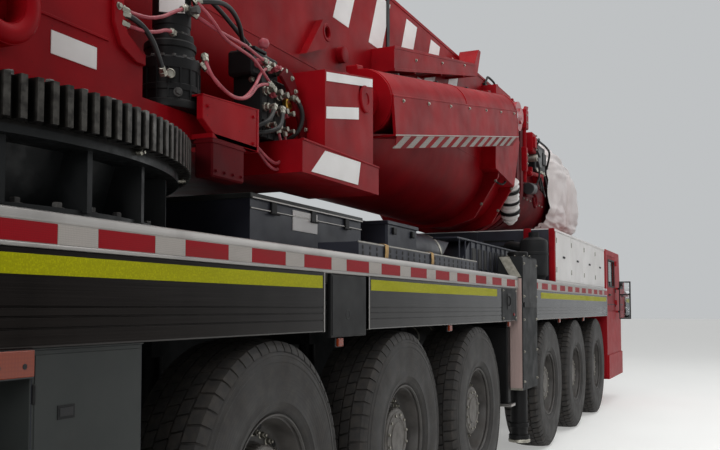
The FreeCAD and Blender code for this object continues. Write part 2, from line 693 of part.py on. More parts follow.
def cab_outline(inset):
    """The cab from the side, moved in by a wall."""
    brow = f"carrier_front - cab_lean - {inset}"
    return [
        (ahead(f"cab_rear + {inset}"), f"cab_floor + {inset}"),
        (ahead(f"carrier_front - {inset}"), f"cab_floor + {inset}"),
        (ahead(f"carrier_front - {inset}"), "cab_belt"),
        (ahead(brow), f"cab_roof - {inset}"),
        (ahead(f"cab_rear + {inset}"), f"cab_roof - {inset}"),
    ]


def screen_outline(depth):
    """A strip that follows the windscreen's lean, depth behind the outer face and 10 thick."""
    return [
        (ahead(f"carrier_front - {depth} - 10"), "cab_belt"),
        (ahead(f"carrier_front - {depth}"), "cab_belt"),
        (ahead(f"carrier_front - cab_lean - {depth}"), "cab_roof"),
        (ahead(f"carrier_front - cab_lean - {depth} - 10"), "cab_roof"),
    ]


def door_box(name, gap):
    """The block of a door or of its opening, with a gap all round."""
    return box(name, (f"door_rear + {gap}", f"door_front - {gap}"), ("cab_half - cab_wall - 1", "cab_half + 1"),
               (f"door_bottom + {gap}", f"door_top - {gap}"))


def cab():
    """The driver's cab: shell and nose with the bumper and mirrors, doors, glass and inside."""
    shell = plate("cab_outer", "xz", cab_outline("0"), "-cab_half", "cab_half")
    hollow = plate("cab_inner", "xz", cab_outline("cab_wall"), "-cab_half + cab_wall", "cab_half - cab_wall")
    nose = box("cab_nose", ("nose_rear", "carrier_front"), ("-cab_half", "cab_half"),
               ("nose_bottom", "cab_floor + 5"))
    slats = [box(f"grille_slat_{index}", ("carrier_front - 45", "carrier_front - 8"), ("-705", "705"),
                 (f"nose_bottom + 430 + {index} * 90", f"nose_bottom + 460 + {index} * 90")) for index in range(5)]
    bumper = box("bumper", ("nose_rear + 40", "carrier_front"), (f"-{HALF_BODY}", HALF_BODY),
                 ("nose_bottom - 40", "nose_bottom + 330"))
    footwell = box("footwell", ("carrier_front - 560", "carrier_front - 60"), ("-cab_half + 80", "cab_half - 80"),
                   ("1000", "cab_floor + 100"))
    grille = box("grille_recess", ("carrier_front - 40", "carrier_front + 10"), ("-700", "700"),
                 ("nose_bottom + 380", "nose_bottom + 850"))
    screen_hole = box("screen_hole", ("carrier_front - cab_lean - 200", "carrier_front + 50"),
                      ("-cab_half + 130", "cab_half - 130"), ("cab_belt + 100", "cab_roof - 120"))
    doorway = door_box("doorway", "0")
    doorway_right = mirrored("doorway_right", doorway)
    body = cut("cab_body", fuse("cab_solid", [shell, nose, bumper]),
               [hollow, footwell, grille, screen_hole, doorway, doorway_right])
    mirror = fuse("mirror", [
        box("mirror_case", ("door_front + 80", "door_front + 150"), ("cab_half + 50", "cab_half + 230"),
            ("1330", "1950")),
        cylinder("mirror_arm_low", "y", ("door_front + 115", "cab_half - 10", "1450"), "80", "16"),
        cylinder("mirror_arm_high", "y", ("door_front + 115", "cab_half - 10", "1830"), "80", "16"),
    ])
    node("cab_shell", fuse("cab_shell", [body, mirror, mirrored("mirror_right", mirror)] + slats))

    hinge_line = "cab_half + 14"
    opening = box("door_window", ("door_rear + 110", "door_front - 110"), ("cab_half - 100", "cab_half + 100"),
                  ("cab_belt + 350", "door_top - 70"))
    leaf = fuse("door_leaf", [
        box("door_panel", ("door_rear + door_gap", "door_front - door_gap"), ("cab_half - cab_wall", "cab_half"),
            ("door_bottom + door_gap", "door_top - door_gap")),
        box("door_strap_low", ("door_front - 60", "door_front"), ("cab_half - 2", hinge_line), ("1560", "1640")),
        box("door_strap_high", ("door_front - 60", "door_front"), ("cab_half - 2", hinge_line), ("2200", "2280")),
        cylinder("door_pin_low", "z", ("door_front", hinge_line, "1560"), "80", "14 - fit_gap"),
        cylinder("door_pin_high", "z", ("door_front", hinge_line, "2200"), "80", "14 - fit_gap"),
    ])
    left = cut("door_left", leaf, [opening, box("door_strap_trim", ("door_front - 5", "door_front + 20"),
               ("cab_half - 10", "cab_half + fit_gap"), ("1500", "2300"))])
    node("cab_door_left", left)
    node("cab_door_right", mirrored("cab_door_right", left))

    screen = doc.addObject("Part::Common", "screen_pane")
    screen.Base = plate("screen_strip", "xz", screen_outline("25"), "-cab_half", "cab_half")
    screen.Tool = screen_hole
    node("cab_glass", screen)

    floor = "(cab_floor + cab_wall)"
    seat = fuse("seat", [
        box("seat_base", ("cab_rear + 260", "cab_rear + 510"), ("600", "900"), (floor, f"{floor} + 150")),
        box("seat_cushion", ("cab_rear + 180", "cab_rear + 650"), ("500", "1000"),
            (f"{floor} + 150", f"{floor} + 260")),
        box("seat_back", ("cab_rear + 70", "cab_rear + 180"), ("500", "1000"), (f"{floor} + 150", f"{floor} + 850")),
    ])
    dash = box("dash", ("carrier_front - 360", "carrier_front - 120"), ("-cab_half + cab_wall", "cab_half - cab_wall"),
               (floor, f"{floor} + 200"))
    column = cylinder("steering_column", "z", ("carrier_front - 520", "750", "1000"), f"{floor} - 680", "35")
    wheel = cylinder("steering_wheel", "z", ("carrier_front - 520", "750", f"{floor} + 320"), "25", "230")
    node("cab_interior", together("cab_interior", [
        both_sides("seats", seat), dash, fuse("steering", [column, wheel])]))


def lamps():
    """Headlamps, rear lamps, amber side lamps and the side marker bars."""
    head = box("headlamp", ("carrier_front", "carrier_front + 25"), ("950", "1350"),
               ("nose_bottom + 420", "nose_bottom + 600"))
    rear = box("rear_lamp", ("-tail_reach", "-tail_reach + 60"), ("1150", f"{HALF_BODY} - edge_depth"),
               (f"{DECK_UNDER} - 180", DECK_UNDER))
    marker = box("marker_bar", ("-800", "-385"), (f"{HALF_BODY} - 22", HALF_BODY),
                 ("skirt_bottom - 90", "skirt_bottom"))
    pieces = [head, rear, marker]
    for index, place in enumerate(("1750", "3600", "5300", "7600", "9200")):
        bottom = "skirt_bottom - 35" if index == 0 else "skirt_bottom"
        pieces.append(box(f"side_lamp_{index}", (f"{place} - 32", f"{place} + 32"),
                          (f"{HALF_BODY} - 26", f"{HALF_BODY} - 2"), (f"{bottom} - 50", bottom)))
    node("lamps", both_sides("lamps", together("lamps_left", pieces)))


def foot_box(side, sign):
    """A box that rises towards the cylinder's foot pin, on a wider sill."""
    rear = "(foot_pin_x + 150 - foot_box_length)"
    front = "(foot_pin_x + 150)"
    case = plate(f"foot_box_{side}", "xz", [
        (ahead(rear), "foot_pin_z - 560"), (ahead(front), "foot_pin_z - 560"),
        (ahead(front), "foot_pin_z + 140"), (ahead(rear), "foot_pin_z + 20")],
        *span(sign, "foot_box_inner", "foot_box_outer"))
    sill = box(f"foot_sill_{side}", (f"{rear} - 350", front), span(sign, "foot_box_inner", "sill_outer"),
               ("sill_bottom", "sill_bottom + 180"))
    return [case, sill]


def side_wall():
    """The wall on the right that ends at the gearbox recess, and the lashing eye on the platform's side."""
    wall = box("side_wall", ("-190", "wall_front"), ("-platform_width / 2", "-platform_waist / 2 + 10"),
               ("platform_top - 10", "wall_top"))
    eye = cylinder("lashing_eye", "y", ("-210", "-platform_width / 2 - 80", "platform_top - 30"), "100", "160")
    return [wall, eye]


def superstructure():
    """Slewing platform with the boom cheeks and the cylinder foot boxes."""
    half = "platform_width / 2"
    outer = "cheek_inner + cheek_thickness"
    base = cylinder("platform_disc", "z", ("0", "0", "ring_top + seat_gap"), "platform_bottom - ring_top",
                    "ring_diameter / 2 - 200")
    waist = "platform_waist / 2"
    table = plate("platform_table", "xy", [
        (ahead("platform_rear"), f"-{waist}"), (ahead("-1600"), f"-{waist}"), (ahead("-1500"), f"-{half}"),
        (ahead("1150"), f"-{half}"), (ahead("1150.5"), f"-{waist}"), (ahead("platform_front"), f"-{waist}"),
        (ahead("platform_front"), waist), (ahead("1150.5"), waist), (ahead("1150"), half),
        (ahead("-1500"), half), (ahead("-1600"), waist), (ahead("platform_rear"), waist)],
        "platform_bottom", "platform_top")
    trough = box("boom_trough", ("trough_rear", "platform_front + 10"), ("-trough_width / 2", "trough_width / 2"),
                 ("platform_bottom + floor_plate", "platform_top + 10"))
    recess = box("gear_recess", ("wall_front + 140", "1160"),
                 ("-platform_width / 2 - 10", "-cheek_inner - cheek_thickness - 5"),
                 ("recess_floor", "platform_top + 10"))
    lashing_hole = cylinder("lashing_hole", "y", ("-210", "-platform_width / 2 - 100", "platform_top - 30"),
                            "105", "85")
    pieces = [base, table] + side_wall()
    holes = [trough, recess, lashing_hole]
    for side, sign in SIDES:
        cheek = plate(f"cheek_{side}", "xz", [
            (ahead("-2600"), "platform_top - 20"), (ahead("1300"), "platform_top - 20"),
            (ahead("pivot_x + 480"), "pivot_z + 260"), (ahead("pivot_x - 420"), "pivot_z + 260")],
            *span(sign, "cheek_inner", outer))
        bore = cylinder(f"pivot_bore_{side}", "y", ("pivot_x", span(sign, "cheek_inner - 20", outer)[0], "pivot_z"),
                        "cheek_thickness + 40", "pivot_pin / 2 + fit_gap")
        slot = box(f"foot_slot_{side}", ("foot_pin_x - 180", "foot_pin_x + 200"),
                   span(sign, "cylinder_offset - 155", "cylinder_offset + 155"),
                   ("foot_pin_z - 200", "foot_pin_z + 160"))
        pin = cylinder(f"foot_bore_{side}", "y", ("foot_pin_x", span(sign, "700", "1300")[0], "foot_pin_z"), "600",
                       "foot_pin / 2 + fit_gap")
        pieces += [cheek] + foot_box(side, sign)
        holes += [bore, slot, pin]
    node("superstructure", cut("superstructure", fuse("superstructure_solid", pieces), holes))


def tail():
    """Winch between its side plates, and the tail weights."""
    frame = [box(f"winch_side_{side}", ("-3900", "-2750"), span(sign, "560", "620"), ("platform_top", "3500"))
             for side, sign in SIDES]
    drum = cylinder("winch_drum", "y", ("-3300", "-590", "3080"), "1180", "300")
    slab = box("tail_slab", ("platform_rear - 500", "platform_rear"), ("-1300", "1300"), ("2400", "3250"))
    bridge = box("tail_bridge", ("platform_rear - 10", "platform_rear + 150"), ("-540", "540"),
                 ("platform_top", "platform_top + 200"))
    node("winch_and_tail", together("winch_and_tail", [fuse("winch", frame + [drum]), fuse("tail", [slab, bridge])]))


def upper_equipment():
    """Slewing gearbox with the guard over its pinion, valve block, tank and locker."""
    gear = fuse("slew_gear", [
        cylinder("slew_foot", "z", ("gear_x", "-gear_y", "recess_floor"), "40", "150"),
        cylinder("slew_case", "z", ("gear_x", "-gear_y", "recess_floor + 30"), "210", "140"),
        cylinder("slew_neck", "z", ("gear_x", "-gear_y", "recess_floor + 230"), "90", "118"),
        cylinder("slew_motor", "z", ("gear_x + 10", "-gear_y", "recess_floor + 310"), "420", "98"),
    ])
    guard = fuse("pinion_guard", [
        plate("guard_face", "xz", [
            (ahead("gear_x - 20"), "platform_bottom + 75"), (ahead("gear_x + 100"), "platform_bottom"),
            (ahead("gear_x + 470"), "platform_bottom"), (ahead("gear_x + 470"), "platform_bottom + 215"),
            (ahead("gear_x - 20"), "platform_bottom + 185")],
            "-platform_width / 2 - 120", "-platform_width / 2 - 85"),
        box("guard_shelf", ("gear_x + 60", "gear_x + 470"), ("-platform_width / 2 - 120", "-platform_width / 2"),
            ("platform_bottom", "platform_bottom + 25")),
        box("pinion_case", ("gear_x + 60", "gear_x + 340"), ("-platform_width / 2 - 120", "-platform_width / 2 - 20"),
            ("platform_bottom - 180", "platform_bottom + 10")),
    ])
    valve = fuse("valve_block", [
        box("valve_body", ("1620", "1900"), ("-1080", "-platform_waist / 2"), ("2430", "2780")),
        box("valve_head", ("1560", "1840"), ("-1060", "-platform_waist / 2"), ("2760", "2920")),
    ])
    tank = box("hydraulic_tank", ("-1400", "-200"), ("-1060", "-850"), ("platform_top", "platform_top + 700"))
    tank_left = box("tool_locker", ("-1400", "-200"), ("850", "1060"), ("platform_top", "platform_top + 700"))
    node("upper_equipment", together("upper_equipment", [gear, guard, valve, tank, tank_left]))


def operator_cab():
    """The crane operator's cab on the left, with its sliding door."""
    floor = "platform_top + 40"
    shelf = box("booth_shelf", ("booth_rear + 50", "booth_front - 700"), ("booth_inner", "booth_outer - 100"),
                ("platform_top", floor))
    outer = box("booth_outer_box", ("booth_rear", "booth_front"), ("booth_inner", "booth_outer"),
                (floor, "booth_top"))
    inner = box("booth_inner_box", ("booth_rear + booth_wall", "booth_front - booth_wall"),
                ("booth_inner + booth_wall", "booth_outer - booth_wall"),
                (f"{floor} + booth_wall", "booth_top - booth_wall"))
    front = box("booth_front_hole", ("booth_front - 100", "booth_front + 50"),
                ("booth_inner + 80", "booth_outer - 80"), (f"{floor} + 250", "booth_top - 100"))
    window = box("booth_window_hole", ("booth_rear + 900", "booth_front - 120"),
                 ("booth_inner - 20", "booth_inner + 100"), (f"{floor} + 500", "booth_top - 120"))
    doorway = box("booth_doorway", ("booth_front - 780", "booth_front - 80"),
                  ("booth_outer - 100", "booth_outer + 20"), (f"{floor} + 80", "booth_top - 120"))
    shell = cut("booth_shell", outer, [inner, front, window, doorway])
    seat = fuse("booth_seat", [
        box("booth_seat_base", ("900", "1200"), ("1050", "1400"), (f"{floor} + booth_wall - 5", f"{floor} + 400")),
        box("booth_seat_cushion", ("800", "1280"), ("990", "1490"), (f"{floor} + 390", f"{floor} + 500")),
        box("booth_seat_back", ("700", "810"), ("990", "1490"), (f"{floor} + 390", f"{floor} + 1100")),
    ])
    node("operator_cab", fuse("operator_cab", [shell, seat, shelf]))
    slide = box("booth_door_panel", ("booth_front - 790", "booth_front - 70"),
                ("booth_outer + seat_gap", "booth_outer + 35"), (f"{floor} + 70", "booth_top - 110"))
    pane = box("booth_door_window", ("booth_front - 700", "booth_front - 160"),
               ("booth_outer - 50", "booth_outer + 60"), (f"{floor} + 600", "booth_top - 200"))
    node("operator_door", cut("operator_door", slide, [pane]))


def section_outline(inset):
    """A boom section across: flat top, straight sides and a half-round belly, moved in by inset."""
    half = f"(boom_width / 2 - {inset})"
    return ([(f"-{half}", "boom_belly"), (half, "boom_belly"), (half, f"boom_top - {inset}"),
             (f"-{half}", f"boom_top - {inset}")], {0: ("0", "boom_belly")})


def section_bar(name, rear, front, inset):
    points, arcs = section_outline(inset)
    return plate(name, "yz", points, ahead(rear), ahead(front), arcs)


def section_tube(name, rear, front, step):
    """A hollow boom section with the collar at its mouth; step counts the sections from the base."""
    outer = f"({step} * boom_step)"
    mouth = f"({step} * boom_step + boom_step - seat_gap)"
    solid = fuse(f"{name}_solid", [
        section_bar(f"{name}_outer", rear, front, outer),
        section_bar(f"{name}_collar", f"{front} - collar_length", front, f"({outer} - collar_rise)"),
    ])
    return cut(f"{name}_tube", solid, [
        section_bar(f"{name}_hollow", f"{rear} - 10", f"{front} - collar_length", f"({outer} + boom_wall)"),
        section_bar(f"{name}_mouth", f"{front} - collar_length - 10", f"{front} + 10", mouth),
    ])


def boom_frame(name, rear, front):
    """A plate round the base section, open inside its wall."""
    low = "frame_low"
    ring = plate(f"{name}_plate", "yz", [
        ("-300", low), ("300", low), ("frame_half - 290", f"{low} + 90"), ("frame_half", f"{low} + 560"),
        ("frame_half", "boom_top - 90"), ("-frame_half", "boom_top - 90"), ("-frame_half", f"{low} + 560"),
        ("-frame_half + 290", f"{low} + 90")], ahead(rear), ahead(front))
    room = section_bar(f"{name}_room", f"{rear} - 10", f"{front} + 10", "boom_wall / 2")
    return cut(name, ring, [room])


def boom_fittings(side, sign):
    """What stands out of one side of the base section: a tray, a lifting lug and a boss."""
    face = "boom_width / 2 - 10"
    tray = plate(f"boom_tray_{side}", "xz", [
        (ahead("tray_start"), "tray_height"), (ahead("tray_start + 2360"), "tray_height + 540"),
        (ahead("tray_start + 2500"), "boom_top + 60"), (ahead("tray_start + 2420"), "boom_top + 60"),
        (ahead("tray_start + 2260"), "tray_height + 640"), (ahead("tray_start"), "tray_height + 200")],
        *span(sign, face, "boom_width / 2 + 200"))
    lug = plate(f"boom_lug_{side}", "xz", [
        (ahead("tray_start - 1240"), "tray_height - 180"), (ahead("tray_start - 960"), "tray_height - 70"),
        (ahead("tray_start - 830"), "tray_height + 60"), (ahead("tray_start - 860"), "tray_height + 150"),
        (ahead("tray_start - 990"), "tray_height + 130")],
        *span(sign, face, "boom_width / 2 + 55"))
    hole = cylinder(f"boom_lug_hole_{side}", "y", ("tray_start - 925", span(sign, "boom_width / 2 + 2",
                    "boom_width / 2 + 60")[0], "tray_height + 55"), "58", "38")
    boss = cylinder(f"boom_boss_{side}", "y", ("tray_start - 610", span(sign, face, "boom_width / 2 + 40")[0],
                    "tray_height - 20"), "50", "60")
    return [tray, cut(f"boom_lug_bored_{side}", lug, [hole]), boss]


def boom():
    """Base section with its pivot pin and cylinder lugs, three telescopic sections and the head."""
    tube = section_tube("boom_base", "boom_rear", BOOM_MOUTH, 0)
    pin = cylinder("pivot_shaft", "y", ("pivot_x", "-cheek_inner - cheek_thickness - 20", "pivot_z"),
                   "2 * (cheek_inner + cheek_thickness + 20)", "pivot_pin / 2")
    lug_outline = [
        (ahead("eye_x - 350"), "eye_z - 650"), (ahead("eye_x + 500"), "eye_z - 750"),
        (ahead("eye_x + 800"), "eye_z - 150"), (ahead("eye_x + 350"), "eye_z + 330"),
        (ahead("eye_x - 300"), "eye_z + 330")]
    lugs = [plate(f"cylinder_lug_{side}", "xz", lug_outline,
                  *span(sign, "boom_width / 2 - 20", "cylinder_offset - 120")) for side, sign in SIDES]
    frames = [boom_frame("lug_frame_rear", "eye_x - 180", "eye_x - 140"),
              boom_frame("lug_frame_front", "eye_x + 560", "eye_x + 600")]
    fittings = [piece for side, sign in SIDES for piece in boom_fittings(side, sign)]
    node("boom_base", fuse("boom_base", [tube, pin] + lugs + frames + fittings))
    for step in (1, 2):
        name = f"boom_section_{step}"
        tube = section_tube(name, f"section_rear + {step - 1} * 150",
                            f"{BOOM_MOUTH} + {step} * section_stagger", step)
        node(name, tube)
    rear = "section_rear + 300"
    head_front = "(boom_reach - 250)"
    tip_wall = f"{BOOM_MOUTH} + 3 * section_stagger - 200"
    bar = cut("boom_tip", section_bar("tip_outer", rear, f"{WRAP_START} + wrap_hold", "(3 * boom_step)"),
              [section_bar("tip_hollow", f"{rear} - 10", tip_wall, "(3 * boom_step + boom_wall)")])
    cheeks = [plate(f"head_cheek_{side}", "xz", [
        (ahead(f"{WRAP_START} + 100"), "2800"), (ahead(f"{head_front} - 700"), "2850"),
        (ahead(f"{head_front} - 150"), "3000"), (ahead(head_front), "3350"),
        (ahead(f"{head_front} - 350"), "3900"), (ahead(f"{WRAP_START} + 100"), "boom_top - 4 * boom_step")],
        *span(sign, "420", "470")) for side, sign in SIDES]
    sheaves = [cylinder(f"sheave_{index}", "y", (f"{head_front} - 330", "-425", height), "850", "290")
               for index, height in enumerate(("3250", "3620"))]
    node("boom_head", fuse("boom_head", [bar] + cheeks + sheaves))
    wrap()


def wrap():
    """The sheet tied over the boom head, as a closed shell with the head's room in it."""
    points = [(ahead(WRAP_START), "2620"), (ahead("boom_reach - 350"), "2560"),
              (ahead("boom_reach"), "2900"), (ahead("boom_reach - 150"), "3900"),
              (ahead("boom_reach - 900"), "4230"), (ahead(WRAP_START), "4230")]
    shell = plate("wrap_outer", "xz", points, "-790", "790")
    room = plate("wrap_inner", "xz", [
        (ahead(f"{WRAP_START} + 40"), "2650"), (ahead("boom_reach - 370"), "2600"),
        (ahead("boom_reach - 40"), "2915"), (ahead("boom_reach - 185"), "3875"),
        (ahead("boom_reach - 920"), "4190"), (ahead(f"{WRAP_START} + 40"), "4190")], "-755", "755")
    neck = section_bar("wrap_neck", f"{WRAP_START} - 100", f"{WRAP_START} + 300", "(3 * boom_step - fit_gap)")
    node("head_wrap", cut("head_wrap", shell, [room, neck]))


def gland():
    """The tapered end of a barrel."""
    cone = doc.addObject("Part::Cone", "barrel_gland")
    cone.Placement = FreeCAD.Placement(Vector(), TURN["x"])
    for side, text in (("Radius1", "barrel_diameter / 2"), ("Radius2", "barrel_diameter / 2 - 65"),
                       ("Height", "gland_length"),
                       ("Placement.Base.x", "barrel_start + barrel_length - gland_length")):
        cone.setExpression(side, bound(text))
    return cone


def luffing_cylinders():
    """Barrels with their foot eyes and pins, and rods with their eyes, built level and then tipped."""
    run = value_of(CYLINDER_RUN)
    rise = value_of(CYLINDER_RISE)
    tip = FreeCAD.Rotation(Vector(0, 1, 0), -math.degrees(math.atan2(rise, run)))
    reach = f"sqrt({CYLINDER_RUN}^2 + {CYLINDER_RISE}^2)"
    guard_end = "barrel_start + barrel_length - gland_length - 40"
    guard_floor = "(-barrel_diameter / 2 - guard_drop)"
    guard_inner = "(barrel_diameter / 2 - 4)"
    barrel = cut("barrel_form", fuse("barrel_solid", [
        cylinder("foot_eye", "y", ("0", "-140", "0"), "280", "150", local=True),
        cylinder("foot_shaft", "y", ("0", "-200", "0"), "400", "foot_pin / 2", local=True),
        cylinder("barrel_neck", "x", ("0", "0", "0"), "barrel_start + 20", "130", local=True),
        cylinder("barrel_tube", "x", ("barrel_start", "0", "0"), "barrel_length - gland_length",
                 "barrel_diameter / 2", local=True),
        gland(),
        box("guard_face_plate", ("barrel_start + 20", guard_end), (guard_inner, f"{guard_inner} + guard_plate"),
            (guard_floor, "20"), local=True),
        box("guard_floor_plate", ("barrel_start + 20", guard_end), ("-30", f"{guard_inner} + guard_plate"),
            (guard_floor, f"{guard_floor} + guard_plate"), local=True),
    ]), [cylinder("barrel_bore", "x", ("rod_inset - 20", "0", "0"), "barrel_start + barrel_length",
                  "rod_diameter / 2 + fit_gap", local=True)])
    rod = fuse("rod_form", [
        cylinder("rod_bar", "x", ("rod_inset", "0", "0"), f"{reach} - rod_inset", "rod_diameter / 2", local=True),
        cylinder("rod_eye", "y", (reach, "-70", "0"), "140", "170", local=True),
        cylinder("rod_pin", "y", (reach, "-(120 - fit_gap)", "0"), "220", "90", local=True),
    ])
    for name, form in (("luffing_barrels", barrel), ("luffing_rods", rod)):
        left = copied(f"{name}_left", form, "foot_pin_x", "cylinder_offset", "foot_pin_z", tip)
        node(name, both_sides(name, left))


wheels_and_knuckles()
axle_beams()
carrier_frame()
outriggers()
slewing_pedestal()
deck()
side_skirts()
equipment_boxes()
engine()
cab()
lamps()
superstructure()
tail()
upper_equipment()
operator_cab()
boom()
luffing_cylinders()
doc.recompute()

failed = [item.Name for item in doc.Objects if {"Invalid", "Error"} & set(item.State)]
failed += [name for name, piece in nodes.items() if piece.Shape.isNull() or not piece.Shape.isValid()]
if failed:
    raise SystemExit(f"these objects failed: {failed}")
os.makedirs("parts", exist_ok=True)
for name, piece in nodes.items():
    piece.Shape.exportStep(f"parts/{name}.step")
print(len(nodes), "sub-parts written")
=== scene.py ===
"""The finish and the small parts of an eight-axle mobile crane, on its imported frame.

Places are metres from the slewing centre: x ahead, y to the vehicle's left, z up.
"""
import math

import bpy
from mathutils import Matrix, Vector, noise


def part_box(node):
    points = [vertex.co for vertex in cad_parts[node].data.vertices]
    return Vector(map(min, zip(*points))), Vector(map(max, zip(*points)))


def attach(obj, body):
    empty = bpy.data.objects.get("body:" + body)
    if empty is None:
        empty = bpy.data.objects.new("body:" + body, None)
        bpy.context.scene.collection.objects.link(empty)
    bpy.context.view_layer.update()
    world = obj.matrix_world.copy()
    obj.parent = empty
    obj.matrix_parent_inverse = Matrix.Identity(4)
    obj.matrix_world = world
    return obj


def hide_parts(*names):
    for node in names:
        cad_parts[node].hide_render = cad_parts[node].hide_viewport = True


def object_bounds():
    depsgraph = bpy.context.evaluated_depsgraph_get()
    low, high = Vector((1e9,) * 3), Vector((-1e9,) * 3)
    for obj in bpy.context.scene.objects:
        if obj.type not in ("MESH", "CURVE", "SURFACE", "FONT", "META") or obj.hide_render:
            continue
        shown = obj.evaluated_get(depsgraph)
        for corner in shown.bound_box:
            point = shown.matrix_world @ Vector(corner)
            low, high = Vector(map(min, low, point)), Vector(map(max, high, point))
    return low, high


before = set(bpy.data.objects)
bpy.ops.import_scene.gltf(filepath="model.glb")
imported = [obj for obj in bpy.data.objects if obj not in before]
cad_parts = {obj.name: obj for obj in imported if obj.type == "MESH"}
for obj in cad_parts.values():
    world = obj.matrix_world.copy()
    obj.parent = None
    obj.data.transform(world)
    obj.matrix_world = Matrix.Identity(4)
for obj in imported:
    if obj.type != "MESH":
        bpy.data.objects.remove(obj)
CAD_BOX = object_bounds()


def in_scene(name, data):
    """Adds an object to the scene."""
    added = bpy.data.objects.new(name, data)
    bpy.context.scene.collection.objects.link(added)
    return added


low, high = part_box("slewing_pedestal")
SLEW_X = (low.x + high.x) / 2
# Directions in the frame
AHEAD = (1, 0, 0)
BACK = (-1, 0, 0)
LEFT = (0, 1, 0)
RIGHT = (0, -1, 0)
UP = (0, 0, 1)
SIDES = (("left", 1), ("right", -1))


def reach(name):
    """Rear and front of a node, from the slewing centre."""
    low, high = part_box(name)
    return low.x - SLEW_X, high.x - SLEW_X


TAIL, DECK_FRONT = reach("deck")
CAB_REAR, CAB_FRONT = reach("cab_shell")
DOOR_REAR = reach("cab_door_right")[0]

# Camera: standing height beside the tail, looking forward along the right side
EYE = (-2.35, -3.441, 1.51)
HEADING = 24.12
PITCH = 2.9
LENS = 43.0
SENSOR_WIDTH = 36.0
FRAME_SHIFT = 0.0548

turn = math.radians(HEADING)
rise = math.radians(PITCH)
sight = Vector((math.cos(turn) * math.cos(rise), math.sin(turn) * math.cos(rise), math.sin(rise)))
camera_data = bpy.data.cameras.new("camera")
camera_data.lens = LENS
camera_data.sensor_width = SENSOR_WIDTH
camera_data.shift_y = FRAME_SHIFT
camera_data.clip_start = 0.05
camera_data.clip_end = 300.0
camera = in_scene("camera", camera_data)
camera.location = (EYE[0] + SLEW_X, EYE[1], EYE[2])
camera.rotation_euler = sight.to_track_quat("-Z", "Y").to_euler()
bpy.context.scene.camera = camera


# Finishes

def linear(code):
    """An sRGB hex colour as the linear colour that a shader takes."""
    parts = [int(code[i:i + 2], 16) / 255 for i in (1, 3, 5)]
    return tuple(c / 12.92 if c <= 0.04045 else ((c + 0.055) / 1.055) ** 2.4 for c in parts) + (1.0,)


def feed(owner, name, value):
    """Gives one socket of a node its value, or the socket that feeds it."""
    if isinstance(value, bpy.types.NodeSocket):
        owner.id_data.links.new(value, owner.inputs[name])
    else:
        owner.inputs[name].default_value = value


def node(tree, kind, inputs=None, **settings):
    """Adds a node with its own settings, and feeds its sockets."""
    made = tree.nodes.new(kind)
    for name, value in settings.items():
        setattr(made, name, value)
    for name, value in (inputs or {}).items():
        feed(made, name, value)
    return made


def per_metre(millimetres):
    """A pattern's scale from the real size of one of its cells."""
    return 1000.0 / millimetres


def start(name):
    """A new material: its tree, its shader and the object's own coordinates in metres."""
    material = bpy.data.materials.new(name)
    material.use_nodes = True
    tree = material.node_tree
    shader = tree.nodes["Principled BSDF"]
    place = node(tree, "ShaderNodeTexCoord").outputs["Object"]
    return material, tree, shader, place


def between(source, from_low, from_high, to_low, to_high):
    """A value mapped from one range to another and held there."""
    return node(source.id_data, "ShaderNodeMapRange", {"Value": source, "From Min": from_low,
            "From Max": from_high, "To Min": to_low, "To Max": to_high}).outputs["Result"]


def blend(share, first, second, way="MIX"):
    """Two colours mixed by a share."""
    return node(share.id_data, "ShaderNodeMix", {0: share, 6: first, 7: second},
                data_type="RGBA", blend_type=way).outputs[2]


def product(first, second, way="MULTIPLY"):
    """Two values through one sum."""
    return node(first.id_data, "ShaderNodeMath", {0: first, 1: second}, operation=way).outputs[0]


def split(place):
    """The three coordinates of a place."""
    return node(place.id_data, "ShaderNodeSeparateXYZ", {0: place}).outputs


def from_axis(first, second):
    """How far a place is from an axis, from its two coordinates across it."""
    tree = first.id_data
    flat = node(tree, "ShaderNodeCombineXYZ", {0: first, 1: second}).outputs[0]
    return node(tree, "ShaderNodeVectorMath", {0: flat}, operation="LENGTH").outputs["Value"]


def seen_directly(tree):
    """1 for what the camera, metal and glass see, 0 for the light that reaches the object."""
    rays = node(tree, "ShaderNodeLightPath").outputs
    seen = product(rays["Is Camera Ray"], rays["Is Glossy Ray"], "MAXIMUM")
    return product(seen, rays["Is Transmission Ray"], "MAXIMUM")


def cloudy(place, millimetres, detail=4.0, stretch=None):
    """Soft spots of one size, drawn out along an axis by stretch."""
    if stretch:
        place = node(place.id_data, "ShaderNodeMapping", {"Vector": place, "Scale": stretch}).outputs[0]
    return node(place.id_data, "ShaderNodeTexNoise", {"Vector": place, "Scale": per_metre(millimetres),
                                             "Detail": detail}).outputs["Fac"]


def relief(shader, height, depth_mm, strength=1.0, under=None):
    """A bump of a real depth on the shader's normal."""
    inputs = {"Height": height, "Distance": depth_mm / 1000, "Strength": strength}
    if under:
        inputs["Normal"] = under
    bump = node(shader.id_data, "ShaderNodeBump", inputs)
    feed(shader, "Normal", bump.outputs[0])
    return bump.outputs[0]


def dust_on(place, colour, dust, amount):
    """Dust that lies on what faces up, thin and patchy."""
    tree = place.id_data
    normal = node(tree, "ShaderNodeNewGeometry").outputs["Normal"]
    upward = split(normal)[2]
    lie = between(upward, 0.1, 1.0, 0.12, 1.0)
    patch = between(cloudy(place, 90, 8.0), 0.35, 0.7, 0.0, amount)
    return blend(product(lie, patch), colour, linear(dust))


